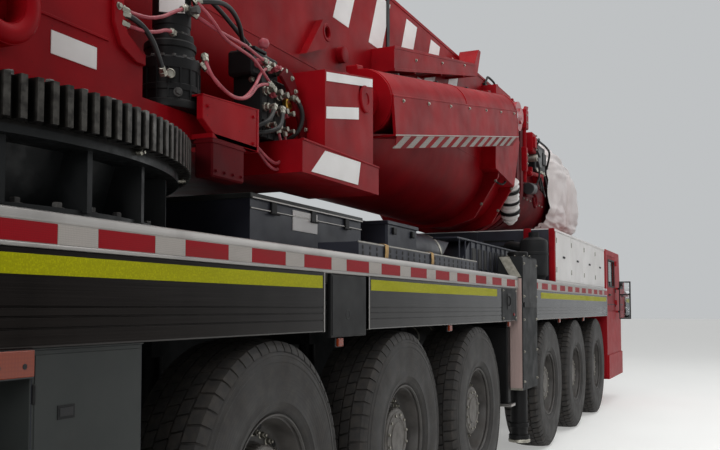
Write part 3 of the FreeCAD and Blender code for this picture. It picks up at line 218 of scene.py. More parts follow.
def coated(name, shade, deep, rough, cell_mm=420, peel_mm=9, peel_depth=0.25, dust="#8F857A",
           dusting=0.25, metal=0.0, coat=0.0, speck=None, shine=0.35):
    """A paint, powder or plated coat: cloudy colour, an uneven gloss, a faint peel and dust on top."""
    material, tree, shader, place = start(name)
    wide = cloudy(place, cell_mm, 6.0)
    colour = blend(between(wide, 0.3, 0.7, 0.0, 1.0), linear(deep), linear(shade))
    if speck:
        chips = between(cloudy(place, 14, 9.0), 0.69, 0.73, 0.0, 0.8)
        colour = blend(chips, colour, linear(speck))
    colour = dust_on(place, colour, dust, dusting)
    feed(shader, "Base Color", colour)
    streak = cloudy(place, 150, 7.0)
    feed(shader, "Roughness", between(streak, 0.3, 0.7, rough[0], rough[1]))
    feed(shader, "Metallic", metal)
    feed(shader, "Specular IOR Level", 0.5 if metal else shine)
    feed(shader, "Coat Weight", coat)
    feed(shader, "Coat Roughness", 0.12)
    relief(shader, cloudy(place, peel_mm, 2.0), peel_depth)
    return material


def drawn(name, shade, deep, rough, line_mm=2.5, along=(0.004, 1.0, 1.0), depth=0.12, wave=0.0,
        grime="#3B3733", griming=0.3, metal=1.0):
    """Bare drawn or rolled metal: fine lines along its length, slight waves and grime in streaks."""
    material, tree, shader, place = start(name)
    lines = cloudy(place, line_mm, 3.0, along)
    colour = blend(lines, linear(deep), linear(shade))
    grime_share = between(cloudy(place, 260, 8.0, (1.0, 1.0, 0.4)), 0.5, 0.75, 0.0, griming)
    colour = blend(grime_share, colour, linear(grime))
    feed(shader, "Base Color", colour)
    feed(shader, "Roughness", between(lines, 0.3, 0.7, rough[0], rough[1]))
    feed(shader, "Metallic", metal)
    under = relief(shader, lines, depth)
    if wave:
        relief(shader, cloudy(place, 330, 1.0, (1.0, 1.0, 0.3)), wave, 1.0, under)
    return material


# Two-pack red enamel sprayed on welded plate: deep even red, soft gloss, faint peel, pale dust on top faces
RED = coated("red enamel sprayed on steel plate", "#A00A16", "#7A0712", (0.42, 0.52), shine=0.06,
             speck="#4A1414", dusting=0.14, dust="#8A524C")
# The same red enamel made darker as painted shade for shaded inner and lower faces, and a little rougher
RED_SHADED = coated("red enamel darkened as painted shade", "#6A0912", "#44070E", (0.5, 0.6), dust="#5A403C",
                  dusting=0.2, speck="#2B1414", shine=0.06)
# Satin black enamel on castings and frame: near black with brown road dust
BLACK = coated("satin black enamel on castings", "#1A1A1B", "#0F0F10", (0.42, 0.6), dust="#4E4841",
        dusting=0.25, peel_mm=5, peel_depth=0.4, shine=0.16)
# Chassis enamel: blue-grey black, matt with road film
CHASSIS = coated("matt chassis enamel on folded plate", "#232527", "#131415", (0.5, 0.75), dust="#5A534A",
                 dusting=0.3, shine=0.16)
# Grey powder coat baked on sheet steel: even mid grey, very fine texture
GREY = coated("grey powder coat on sheet steel", "#363938", "#2D302F", (0.42, 0.52), peel_mm=4,
        peel_depth=0.18, dusting=0.12, shine=0.2)
# Dark enamel on the deck's lockers and tanks: blue-black, satin, with settled dust
DARK = coated("blue-black enamel on tank steel", "#353742", "#24262E", (0.36, 0.55), dust="#4E4C4A",
        dusting=0.25, shine=0.25)
# Pale enamel on sheet panels and blank plates: clean white with a grey film
WHITE = coated("white enamel on sheet panel", "#F1EEEC", "#DFDBD8", (0.3, 0.45), coat=0.1, dusting=0.12)
# Zinc plated fasteners: dull silver, slightly yellow
ZINC = coated("zinc plated steel fasteners", "#A9A69B", "#7E7B72", (0.35, 0.5), cell_mm=40, metal=1.0,
              dusting=0.3, peel_mm=3)
# Turned brass fittings: warm and bright with a tarnish
BRASS = coated("turned brass fittings", "#C49A4A", "#8C6A2C", (0.25, 0.42), cell_mm=30, metal=1.0,
        dusting=0.1, peel_mm=2, peel_depth=0.05)
# Cast iron of the engine and hubs, painted over: rough grey
IRON = coated("painted rough cast iron", "#5B5957", "#403E3D", (0.5, 0.7), cell_mm=80, peel_mm=3,
        peel_depth=0.6, dusting=0.35)
# Rim enamel baked on pressed steel: dark grey with brake dust
RIM = coated("baked rim enamel with brake dust", "#55524F", "#34312F", (0.4, 0.6), cell_mm=120,
        dust="#5A4E44", dusting=0.3)
# Pale zinc-rich primer on the hub drums, stained by brake dust
HUB = coated("zinc-rich primer on cast hubs", "#77736E", "#4E4A46", (0.45, 0.65), cell_mm=60, dust="#5A4E44",
             dusting=0.3, peel_mm=3, peel_depth=0.5)
# Hose rubber extruded over braid: black, dull
HOSE = coated("extruded hose rubber", "#1B1B1C", "#111112", (0.45, 0.6), cell_mm=90, peel_mm=4,
        peel_depth=0.3)
# Rose sleeve of the pilot lines, extruded PVC: soft faded red
SLEEVE = coated("extruded PVC sleeve of pilot lines", "#B4525C", "#93333F", (0.35, 0.5), cell_mm=60,
        peel_mm=4, peel_depth=0.2, dusting=0.2)
# Window and door seals, extruded EPDM: matt black
SEAL = coated("extruded EPDM window seal", "#1C1C1D", "#131314", (0.6, 0.75), cell_mm=80, peel_mm=3)
# Moulded ABS of dashboards and lamp backs: dark grey fine grain
PLASTIC = coated("grained ABS moulding", "#3A3B3D", "#2D2E30", (0.5, 0.62), cell_mm=150, peel_mm=2.2,
                 peel_depth=0.25, dusting=0.2)
# Anodised aluminium edge extrusion: pale satin silver with lines along the vehicle
EDGE = drawn("anodised aluminium edge extrusion", "#A9A6A3", "#87837F", (0.34, 0.46), griming=0.3)
# Ribbed mill-finish aluminium skirt: its colour darkened as a painted reflection of dark surroundings,
# glossier, waves in the panel break up what it mirrors
SKIRT = drawn("mill finish aluminium skirt sheet", "#2A2624", "#181514", (0.14, 0.26), depth=0.05, wave=3.0,
              griming=0.5, grime="#12100F")
# Brushed stainless cover plates on the outrigger posts, tinted pink as a painted reflection of the red parts
# nearby
PLATE = drawn("brushed stainless cover plate tinted as painted reflection", "#C4AAA4", "#94807B", (0.4, 0.55), along=(1.0, 1.0, 0.01),
              metal=0.3, griming=0.15)


def toothed_steel():
    """Hobbed steel teeth over a painted cone: greased dark roots, rubbed tips, grey mount below."""
    material, tree, shader, place = start("hobbed steel teeth with grease")
    parts = split(place)
    radius = from_axis(product(parts[0], -SLEW_X, "ADD"), parts[1])
    tip = between(radius, 1.436, 1.449, 0.0, 0.75)
    worn = product(tip, between(cloudy(place, 30, 6.0), 0.35, 0.6, 0.3, 1.0))
    grease = between(cloudy(place, 70, 8.0), 0.4, 0.65, 0.0, 1.0)
    teeth = blend(grease, linear("#100F0F"), linear("#211F1D"))
    teeth = blend(worn, teeth, linear("#55524E"))
    mount = blend(cloudy(place, 300, 6.0), linear("#111213"), linear("#202223"))
    upper = between(parts[2], 2.085, 2.09, 0.0, 1.0)
    feed(shader, "Base Color", blend(upper, mount, teeth))
    feed(shader, "Roughness", between(grease, 0.0, 1.0, 0.55, 0.3))
    feed(shader, "Metallic", product(upper, 0.6))
    feed(shader, "Specular IOR Level", 0.2)
    relief(shader, cloudy(place, 12, 5.0), 0.5)
    return material


def chequer_plate():
    """Rolled aluminium chequer plate: raised lozenges 30 mm apart both ways, scuffed bright on top."""
    material, tree, shader, place = start("rolled aluminium chequer plate")
    bars = []
    for angle in (45, -45):
        turned = node(tree, "ShaderNodeMapping", {"Vector": place, "Rotation": (0, 0, math.radians(angle)),
                                                  "Scale": (1.0, 0.4, 1.0)}).outputs[0]
        cell = node(tree, "ShaderNodeTexVoronoi", {"Vector": turned, "Scale": per_metre(22),
                "Randomness": 0.0})
        bars.append(between(cell.outputs["Distance"], 0.12, 0.3, 1.0, 0.0))
    raised = product(bars[0], bars[1], "MAXIMUM")
    base = blend(cloudy(place, 500, 8.0), linear("#5D5A56"), linear("#85817C"))
    feed(shader, "Base Color", blend(product(raised, 0.5), base, linear("#A9A5A0")))
    feed(shader, "Roughness", between(cloudy(place, 120, 6.0), 0.3, 0.7, 0.35, 0.6))
    feed(shader, "Metallic", 0.85)
    relief(shader, raised, 2.0)
    return material


def moulded_rubber():
    """Tyre rubber, moulded: brown-black, dusty between fine radial and ring marks on the wall."""
    material, tree, shader, place = start("moulded tyre rubber with road dust")
    parts = split(place)
    radius = from_axis(parts[0], parts[2])
    # ring marks on the wall, 18 mm apart
    rings = node(tree, "ShaderNodeMath", {0: product(radius, 350.0)}, operation="SINE").outputs[0]
    mottle = cloudy(place, 160, 8.0)
    rubber = blend(mottle, linear("#161413"), linear("#2A2725"))
    dusty = between(cloudy(place, 45, 9.0), 0.42, 0.75, 0.0, 0.4)
    tread = between(radius, 0.6, 0.68, 0.5, 1.0)
    colour = blend(product(dusty, tread), rubber, linear("#4E463E"))
    feed(shader, "Base Color", colour)
    feed(shader, "Roughness", between(mottle, 0.3, 0.7, 0.62, 0.85))
    under = relief(shader, rings, 0.12)
    relief(shader, cloudy(place, 6, 5.0), 0.5, 1.0, under)
    return material


def reflective(name, shade, deep, dirt="#5C5148"):
    """Retroreflective sheeting: honeycomb cells 4 mm across, drawn at 7 mm to show, under a clear face."""
    material, tree, shader, place = start(name)
    cell = node(tree, "ShaderNodeTexVoronoi", {"Vector": place, "Scale": per_metre(7), "Randomness": 0.15},
                feature="DISTANCE_TO_EDGE").outputs["Distance"]
    comb = between(cell, 0.02, 0.09, 0.0, 1.0)
    colour = blend(comb, linear(deep), linear(shade))
    film = between(cloudy(place, 130, 8.0, (0.3, 1.0, 1.0)), 0.5, 0.8, 0.0, 0.28)
    feed(shader, "Base Color", blend(film, colour, linear(dirt)))
    feed(shader, "Roughness", between(film, 0.0, 0.28, 0.4, 0.6))
    relief(shader, comb, 0.1)
    feed(shader, "Specular IOR Level", 0.08)
    return material


def moulded_lens(name, shade, deep):
    """Injection moulded polycarbonate lens: small pyramids inside, glossy outside."""
    material, tree, shader, place = start(name)
    cell = node(tree, "ShaderNodeTexVoronoi", {"Vector": place, "Scale": per_metre(12), "Randomness": 0.0})
    share = between(cell.outputs["Distance"], 0.0, 0.6, 1.0, 0.0)
    feed(shader, "Base Color", blend(share, linear(deep), linear(shade)))
    feed(shader, "Roughness", between(cloudy(place, 50), 0.3, 0.7, 0.12, 0.25))
    feed(shader, "Transmission Weight", 0.15)
    feed(shader, "IOR", 1.58)
    relief(shader, share, 0.03)
    return material


def tinted_glass():
    """Toughened float glass, tinted in the melt: grey-green, glossy, with a little dust at the edges."""
    material, tree, shader, place = start("tinted toughened glass")
    film = between(cloudy(place, 240, 8.0), 0.45, 0.8, 0.0, 0.35)
    feed(shader, "Base Color", blend(film, linear("#6F8480"), linear("#8C8C84")))
    feed(shader, "Roughness", between(film, 0.0, 0.35, 0.02, 0.16))
    feed(shader, "Transmission Weight", 0.85)
    feed(shader, "IOR", 1.52)
    return material


def mirror_glass():
    """Silvered mirror glass: clear and bright, with drying marks."""
    material, tree, shader, place = start("silvered mirror glass")
    marks = between(cloudy(place, 40, 8.0), 0.5, 0.8, 0.0, 0.4)
    feed(shader, "Base Color", blend(marks, linear("#D8DDE0"), linear("#A5A8A8")))
    feed(shader, "Roughness", between(marks, 0.0, 0.4, 0.03, 0.2))
    feed(shader, "Metallic", 1.0)
    return material


def woven(name, shade, deep, thread_mm, drawn_mm, rough=0.8, sheen=0.2, soil="#8C8178"):
    """Woven yarn: over-and-under threads, drawn coarser than they are where they would not show."""
    material, tree, shader, place = start(name)
    size = max(thread_mm, drawn_mm)
    waves = []
    for axis in ("X", "Z"):
        wave = node(tree, "ShaderNodeTexWave", {"Vector": place, "Scale": per_metre(size) / 6.28,
                "Distortion": 0.6}, bands_direction=axis)
        waves.append(wave.outputs["Fac"])
    cross = product(waves[0], waves[1])
    colour = blend(cross, linear(deep), linear(shade))
    stain = between(cloudy(place, 320, 9.0), 0.5, 0.78, 0.0, 0.35)
    feed(shader, "Base Color", blend(stain, colour, linear(soil)))
    feed(shader, "Roughness", between(cross, 0.0, 1.0, rough, rough - 0.15))
    feed(shader, "Sheen Weight", sheen)
    relief(shader, cross, size * 0.15)
    return material


def galvanised():
    """Hot-dip galvanised steel: crystals of zinc 15 mm across, dull silver."""
    material, tree, shader, place = start("hot dip galvanised plank steel")
    cell = node(tree, "ShaderNodeTexVoronoi", {"Vector": place, "Scale": per_metre(15)}).outputs["Color"]
    grey = split(cell)[0]
    colour = blend(grey, linear("#8D8A84"), linear("#A7A49E"))
    feed(shader, "Base Color", dust_on(place, colour, "#7A7063", 0.5))
    feed(shader, "Roughness", between(grey, 0.0, 1.0, 0.38, 0.55))
    feed(shader, "Metallic", 0.9)
    relief(shader, grey, 0.1)
    return material


def laid_rope():
    """Laid steel wire rope: strands 9 mm apart on a slant, greased."""
    material, tree, shader, place = start("laid steel wire rope")
    slant = node(tree, "ShaderNodeMapping", {"Vector": place, "Rotation": (0.6, 0.5, 0.4)}).outputs[0]
    strand = node(tree, "ShaderNodeTexWave", {"Vector": slant, "Scale": per_metre(9) / 6.28}).outputs["Fac"]
    colour = blend(strand, linear("#2A2622"), linear("#8A8378"))
    feed(shader, "Base Color", colour)
    feed(shader, "Roughness", between(strand, 0.0, 1.0, 0.6, 0.35))
    feed(shader, "Metallic", 0.8)
    relief(shader, strand, 1.5)
    return material


def rod_and_eye():
    """Ground hard chrome on the rod, enamel on its forged eye."""
    material, tree, shader, place = start("chromed rod with enamelled eye")
    along = split(place)[0]
    eye = between(along, 7.27 + SLEW_X, 7.29 + SLEW_X, 0.0, 1.0)
    bright = blend(cloudy(place, 180, 4.0), linear("#C6C9CC"), linear("#D8DADC"))
    paint = blend(cloudy(place, 300, 6.0), linear("#7E0D18"), linear("#A81220"))
    feed(shader, "Base Color", blend(eye, bright, paint))
    feed(shader, "Roughness", between(eye, 0.0, 1.0, 0.09, 0.4))
    feed(shader, "Metallic", between(eye, 0.0, 1.0, 1.0, 0.0))
    relief(shader, cloudy(place, 8, 3.0), 0.1)
    return material


def machine_paint():
    """Satin black enamel on the gearbox and valves, red enamel on the pinion's guard below them."""
    material, tree, shader, place = start("black gearbox enamel with red guard")
    parts = split(place)
    below = between(parts[2], 2.336, 2.334, 0.0, 1.0)
    outside = between(parts[1], -1.157, -1.159, 0.0, 1.0)
    guard = product(below, outside, "MAXIMUM")
    black = blend(cloudy(place, 120, 8.0), linear("#131314"), linear("#29292B"))
    red = blend(cloudy(place, 300, 6.0), linear("#A50D16"), linear("#C2121C"))
    colour = dust_on(place, blend(guard, black, red), "#6A5F57", 0.2)
    feed(shader, "Base Color", colour)
    feed(shader, "Roughness", between(cloudy(place, 60, 7.0), 0.3, 0.7, 0.34, 0.55))
    relief(shader, cloudy(place, 7, 3.0), 0.3)
    return material


def cab_paint():
    """Red enamel on the pressed cab, and black moulded plastic on the mirrors that stand outside it."""
    material, tree, shader, place = start("red enamel on cab panels with black mirrors")
    aside = node(tree, "ShaderNodeMath", {0: split(place)[1]}, operation="ABSOLUTE").outputs[0]
    mirrors = between(aside, 1.505, 1.507, 0.0, 1.0)
    red = blend(cloudy(place, 420, 6.0), linear("#8C0A16"), linear("#AE0D1B"))
    red = dust_on(place, red, "#8A524C", 0.14)
    black = blend(cloudy(place, 60, 6.0), linear("#121213"), linear("#232325"))
    feed(shader, "Base Color", blend(mirrors, red, black))
    feed(shader, "Roughness", between(cloudy(place, 150, 7.0), 0.3, 0.7, 0.4, 0.5))
    feed(shader, "Specular IOR Level", 0.12)
    relief(shader, cloudy(place, 9, 2.0), 0.2)
    return material


MACHINE = machine_paint()
CAB_PAINT = cab_paint()
TEETH = toothed_steel()
CHEQUER = chequer_plate()
RUBBER = moulded_rubber()
TAPE_RED = reflective("red retroreflective sheeting", "#9C0F1C", "#7C0A15")
TAPE_WHITE = reflective("white retroreflective sheeting", "#B9B2AC", "#9B948E")
TAPE_LIME = reflective("fluorescent yellow-green sheeting", "#BDBB00", "#A3A100", dirt="#7D7A10")
AMBER = moulded_lens("amber polycarbonate lens", "#94350A", "#8A2F08")
RED_LENS = moulded_lens("red polycarbonate lens", "#B01218", "#6E0A0F")
CLEAR_LENS = moulded_lens("clear polycarbonate lens", "#E4E4DE", "#BDBDB8")
GLASS = tinted_glass()
MIRROR = mirror_glass()
# Tarpaulin woven from 1 mm polyethylene tape and coated: off-white, soft sheen, grey in its folds
TARPAULIN = woven("coated woven tarpaulin", "#EDE7E5", "#D3CAC8", 1, 5, rough=0.62, sheen=0.3,
        soil="#B9A9A6")
# Ratchet webbing woven from polyester: ochre yellow, threads 2 mm apart
WEBBING = woven("woven polyester lashing webbing", "#D3A85A", "#A67C34", 2, 4)
# Seat cloth woven in flat grey yarn, threads about 1.5 mm
SEAT_CLOTH = woven("woven grey seat cloth", "#4C4F55", "#34363B", 1.5, 4, rough=0.9, sheen=0.4)
ZINC_PLANK = galvanised()
ROPE = laid_rope()
ROD = rod_and_eye()

FINISH_OF_NODE = {
    "carrier_frame": CHASSIS,
    "axle_beams": BLACK,
    "slewing_pedestal": TEETH,
    "deck": CHEQUER,
    "engine_housing": WHITE,
    "equipment_boxes": DARK,
    "upper_equipment": MACHINE,
    "cab_interior": PLASTIC,
    "engine_block": IRON,
    "cab_shell": CAB_PAINT,
    "cab_glass": GLASS,
    "superstructure": RED,
    "winch_and_tail": RED,
    "operator_cab": RED,
    "operator_door": RED,
    "boom_base": RED,
    # boom sections and head take the red enamel darkened as painted shade
    "boom_section_1": RED_SHADED,
    "boom_section_2": RED_SHADED,
    "boom_head": RED_SHADED,
    "luffing_barrels": RED,
    "luffing_rods": ROD,
    "cab_door_left": RED,
    "cab_door_right": RED,
}
FINISH_OF_KIND = {"knuckle": BLACK, "outrigger_beam": CHASSIS, "outrigger_jack": BLACK}
for name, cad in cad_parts.items():
    finishes = [finish for kind, finish in FINISH_OF_KIND.items() if name.startswith(kind)]
    if name in FINISH_OF_NODE:
        finishes = [FINISH_OF_NODE[name]]
    if finishes:
        cad.data.materials.clear()
        cad.data.materials.append(finishes[0])


# Making pieces

def block_template():
    """Corners and faces of a block with its edges taken off, turned outwards."""
    signs = [(a, b, c) for a in (-1, 1) for b in (-1, 1) for c in (-1, 1)]
    number = {s: i for i, s in enumerate(signs)}

    def corner(s, axis):
        return 3 * number[tuple(s)] + axis

    faces = []
    for axis in range(3):
        one, two = [a for a in range(3) if a != axis]
        for g in (-1, 1):
            ring = []
            for u, v in ((-1, -1), (1, -1), (1, 1), (-1, 1)):
                s = [0, 0, 0]
                s[axis], s[one], s[two] = g, u, v
                ring.append(corner(s, axis))
            faces.append(ring)
            for h in (-1, 1):
                ends = []
                for w in (-1, 1):
                    s = [0, 0, 0]
                    s[one], s[two], s[axis] = g, h, w
                    ends.append(s)
                faces.append([corner(ends[0], one), corner(ends[1], one), corner(ends[1], two),
                              corner(ends[0], two)])
    faces += [[corner(s, 0), corner(s, 1), corner(s, 2)] for s in signs]
    spots = []
    for s in signs:
        for axis in range(3):
            spots.append(Vector([s[k] * (1.0 if k == axis else 0.8) for k in range(3)]))
    turned = []
    for face in faces:
        middle = sum((spots[i] for i in face), Vector()) / len(face)
        across = (spots[face[1]] - spots[face[0]]).cross(spots[face[2]] - spots[face[1]])
        turned.append(face if across.dot(middle) > 0 else face[::-1])
    return signs, turned


BLOCK_SIGNS, BLOCK_FACES = block_template()


def inset(outline, amount):
    """A closed outline moved inwards."""
    area = sum(a[0] * b[1] - b[0] * a[1] for a, b in zip(outline, outline[1:] + outline[:1]))
    hand = 1 if area > 0 else -1
    moved = []
    for i, point in enumerate(outline):
        before = Vector(point) - Vector(outline[i - 1])
        after = Vector(outline[(i + 1) % len(outline)]) - Vector(point)
        before.normalize()
        after.normalize()
        left = Vector((-before.y - after.y, before.x + after.x))
        size = max(left.length, 0.2)
        moved.append(tuple(Vector(point) + left / size * amount * hand * (2 / size) ** 0.5 * 0.8))
    return moved


def across(sign, near, far):
    """A span from near to far on one side of the centre plane, its lower value first."""
    return tuple(sorted((near * sign, far * sign)))


def spaced(count, radius=1.0, shift=0.0):
    """Angle and the two coordinates of each of the places spaced round a circle."""
    for k in range(count):
        angle = 2 * math.pi * (k + shift) / count
        yield angle, radius * math.cos(angle), radius * math.sin(angle)


def skin(rows, around, first=0):
    """Faces between rows of points that each go once round."""
    faces = []
    for i in range(rows):
        for k in range(around):
            j = (k + 1) % around
            a, b = first + i * around, first + (i + 1) * around
            faces.append([a + k, a + j, b + j, b + k])
    return faces


class Work:
    """A piece in the making: points, faces and each face's finish."""

    def __init__(self):
        self.points = []
        self.faces = []
        self.finish = []

    def put(self, points, faces, finish=0, place=None):
        first = len(self.points)
        if place is not None:
            points = [place @ Vector(p) for p in points]
        self.points += [tuple(p) for p in points]
        self.faces += [[first + i for i in face] for face in faces]
        self.finish += [finish] * len(faces)

    def block(self, x, y, z, finish=0, bevel=0.004, place=None):
        """A block between two values on each axis, with its edges taken off."""
        middle = [(s[0] + s[1]) / 2 for s in (x, y, z)]
        half = [abs(s[1] - s[0]) / 2 for s in (x, y, z)]
        bevel = min([bevel] + [h * 0.45 for h in half])
        points = []
        for signs in BLOCK_SIGNS:
            for axis in range(3):
                points.append([middle[k] + signs[k] * (half[k] - (0 if k == axis else bevel))
                               for k in range(3)])
        self.put(points, BLOCK_FACES, finish, place)

    def slab(self, outline, plane, span, finish=0, bevel=0.003, place=None):
        """An outline in a plane, as thick as span along the third axis, with its edges taken off."""
        order = {"xz": (0, 2, 1), "yz": (1, 2, 0), "xy": (0, 1, 2)}[plane]
        near, far = sorted(span)
        bevel = min(bevel, (far - near) * 0.4)
        small = inset(outline, bevel)
        points = []
        for ring, level in ((small, near), (outline, near + bevel), (outline, far - bevel), (small, far)):
            for u, v in ring:
                p = [0, 0, 0]
                p[order[0]], p[order[1]], p[order[2]] = u, v, level
                points.append(p)
        count = len(outline)
        faces = [list(range(count))[::-1], list(range(3 * count, 4 * count))] + skin(3, count)
        area = sum(a[0] * b[1] - b[0] * a[1] for a, b in zip(outline, outline[1:] + outline[:1]))
        if (area > 0) == (plane == "xz"):
            faces = [face[::-1] for face in faces]
        self.put(points, faces, finish, place)

    def turned(self, profile, centre, axis, sides=32, finish=0, place=None, ends=True):
        """A profile of (radius, distance along) turned about an axis through a point, closed at its ends."""
        along = Vector(axis).normalized()
        side = along.orthogonal().normalized()
        other = along.cross(side)
        centre = Vector(centre)
        points, rings = [], []
        for radius, far in profile:
            if radius < 1e-6:
                rings.append([len(points)])
                points.append(centre + along * far)
                continue
            rings.append(list(range(len(points), len(points) + sides)))
            for i in range(sides):
                angle = 2 * math.pi * i / sides
                spoke = side * math.cos(angle) + other * math.sin(angle)
                points.append(centre + along * far + spoke * radius)
        faces = []
        for one, two in zip(rings, rings[1:]):
            for i in range(sides):
                j = (i + 1) % sides
                face = [one[i % len(one)], one[j % len(one)], two[j % len(two)], two[i % len(two)]]
                face = list(dict.fromkeys(face))
                if len(face) > 2:
                    faces.append(face)
        if ends and len(rings[0]) > 1:
            faces.append(rings[0][::-1])
        if ends and len(rings[-1]) > 1:
            faces.append(rings[-1])
        self.put(points, faces, finish, place)

    def rod(self, begin, end, radius, sides=12, finish=0, bevel=0.002, place=None):
        """A round bar between two points, with its ends eased."""
        begin, end = Vector(begin), Vector(end)
        length = (end - begin).length
        bevel = min(bevel, radius * 0.4, length * 0.3)
        profile = [(radius - bevel, 0), (radius, bevel), (radius, length - bevel), (radius - bevel, length)]
        self.turned(profile, begin, end - begin, sides, finish, place)

    def bolt(self, centre, axis, size, finish=0, washer=True, place=None):
        """A hexagon head on its washer; size is across the head, in metres."""
        radius = size / 2
        if washer:
            self.turned([(radius * 1.45, 0), (radius * 1.45, size * 0.1), (radius * 1.35, size * 0.14)],
                        centre, axis, 14, finish, place)
        self.turned([(radius, size * 0.1), (radius * 1.05, size * 0.55), (radius * 0.85, size * 0.66)],
                    centre, axis, 6, finish, place)

    def pipe(self, route, radius, sides=10, finish=0, steps=6):
        """A bent tube through its route's points, smooth between them."""
        route = [Vector(p) for p in route]
        ends = [route[0] * 2 - route[1]] + route + [route[-1] * 2 - route[-2]]
        line = []
        for i in range(1, len(ends) - 2):
            a, b, c, d = ends[i - 1:i + 3]
            for k in range(steps):
                t = k / steps
                line.append(0.5 * (2 * b + (c - a) * t + (2 * a - 5 * b + 4 * c - d) * t * t
                                   + (3 * b - a - 3 * c + d) * t ** 3))
        line.append(route[-1])
        points, side = [], None
        for i, spot in enumerate(line):
            ahead = (line[min(i + 1, len(line) - 1)] - line[max(i - 1, 0)]).normalized()
            side = ahead.orthogonal() if side is None else side - ahead * side.dot(ahead)
            side = side.normalized()
            other = ahead.cross(side)
            for k in range(sides):
                angle = 2 * math.pi * k / sides
                points.append(spot + (side * math.cos(angle) + other * math.sin(angle)) * radius)
        faces = [list(range(sides))[::-1], list(range(len(points) - sides, len(points)))]
        self.put(points, faces + skin(len(line) - 1, sides), finish)

    def mirror(self):
        """Adds the same on the other side of the centre plane."""
        count = len(self.points)
        self.points += [(x, -y, z) for x, y, z in self.points]
        self.faces += [[count + i for i in face[::-1]] for face in self.faces]
        self.finish += self.finish

    def made(self, name, body, slot, *finishes, sharp=32, local=False):
        """The finished piece, riding on a body."""
        mesh = bpy.data.meshes.new(name)
        mesh.from_pydata(self.points, [], self.faces)
        for finish in finishes:
            mesh.materials.append(finish)
        mesh.polygons.foreach_set("material_index", self.finish)
        mesh.polygons.foreach_set("use_smooth", [True] * len(self.faces))
        mesh.set_sharp_from_angle(angle=math.radians(sharp))
        if not local:
            mesh.transform(Matrix.Translation((SLEW_X, 0, 0)))
        mesh.update()
        piece = in_scene(name, mesh)
        if body:
            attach(piece, body)
        return piece


def hose_lines(name, body, finish, routes, radius):
    """Hoses held at both ends, as one set of smooth lines with a round section."""
    data = bpy.data.curves.new(name, "CURVE")
    data.dimensions = "3D"
    data.bevel_depth = radius
    data.bevel_resolution = 3
    data.resolution_u = 6
    for route in routes:
        spline = data.splines.new("NURBS")
        spline.points.add(len(route) - 1)
        for point, (x, y, z) in zip(spline.points, route):
            point.co = (x + SLEW_X, y, z, 1.0)
        spline.order_u = 3
        spline.use_endpoint_u = True
    data.use_fill_caps = True
    data.materials.append(finish)
    piece = in_scene(name, data)
    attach(piece, body)


# Wheels

TYRE_RADIUS = 0.685
TREAD_DEPTH = 0.016
TREAD_PITCHES = 56
# Shoulder rib across, its outer line and then its inner one: (radius, distance from the middle plane)
SHOULDER = ((0.6725, 0.159), (0.660, 0.1685), (0.643, 0.1785), (0.626, 0.1835),
            (0.655, 0.145), (0.645, 0.155), (0.63, 0.168), (0.618, 0.178))


def tread_block(work, near, far, begin, end, slant, drop_near, drop_far):
    """One block of tread between two angles, from the carcass up; drop lowers its outer edge."""
    points = []
    for level, shrink in ((-0.02, 0.0), (0.0, 0.02)):
        for edge, lean, drop in ((near, -slant, drop_near), (far, slant, drop_far)):
            for angle, way in ((begin, 1), (end, -1)):
                turned = angle + lean + way * shrink * (end - begin)
                radius = TYRE_RADIUS - 0.0005 + level - drop
                points.append((radius * math.cos(turned), edge, radius * math.sin(turned)))
    work.put(points, [[4, 5, 7, 6], [0, 4, 6, 2], [1, 3, 7, 5], [0, 1, 5, 4], [2, 6, 7, 3]], 0)


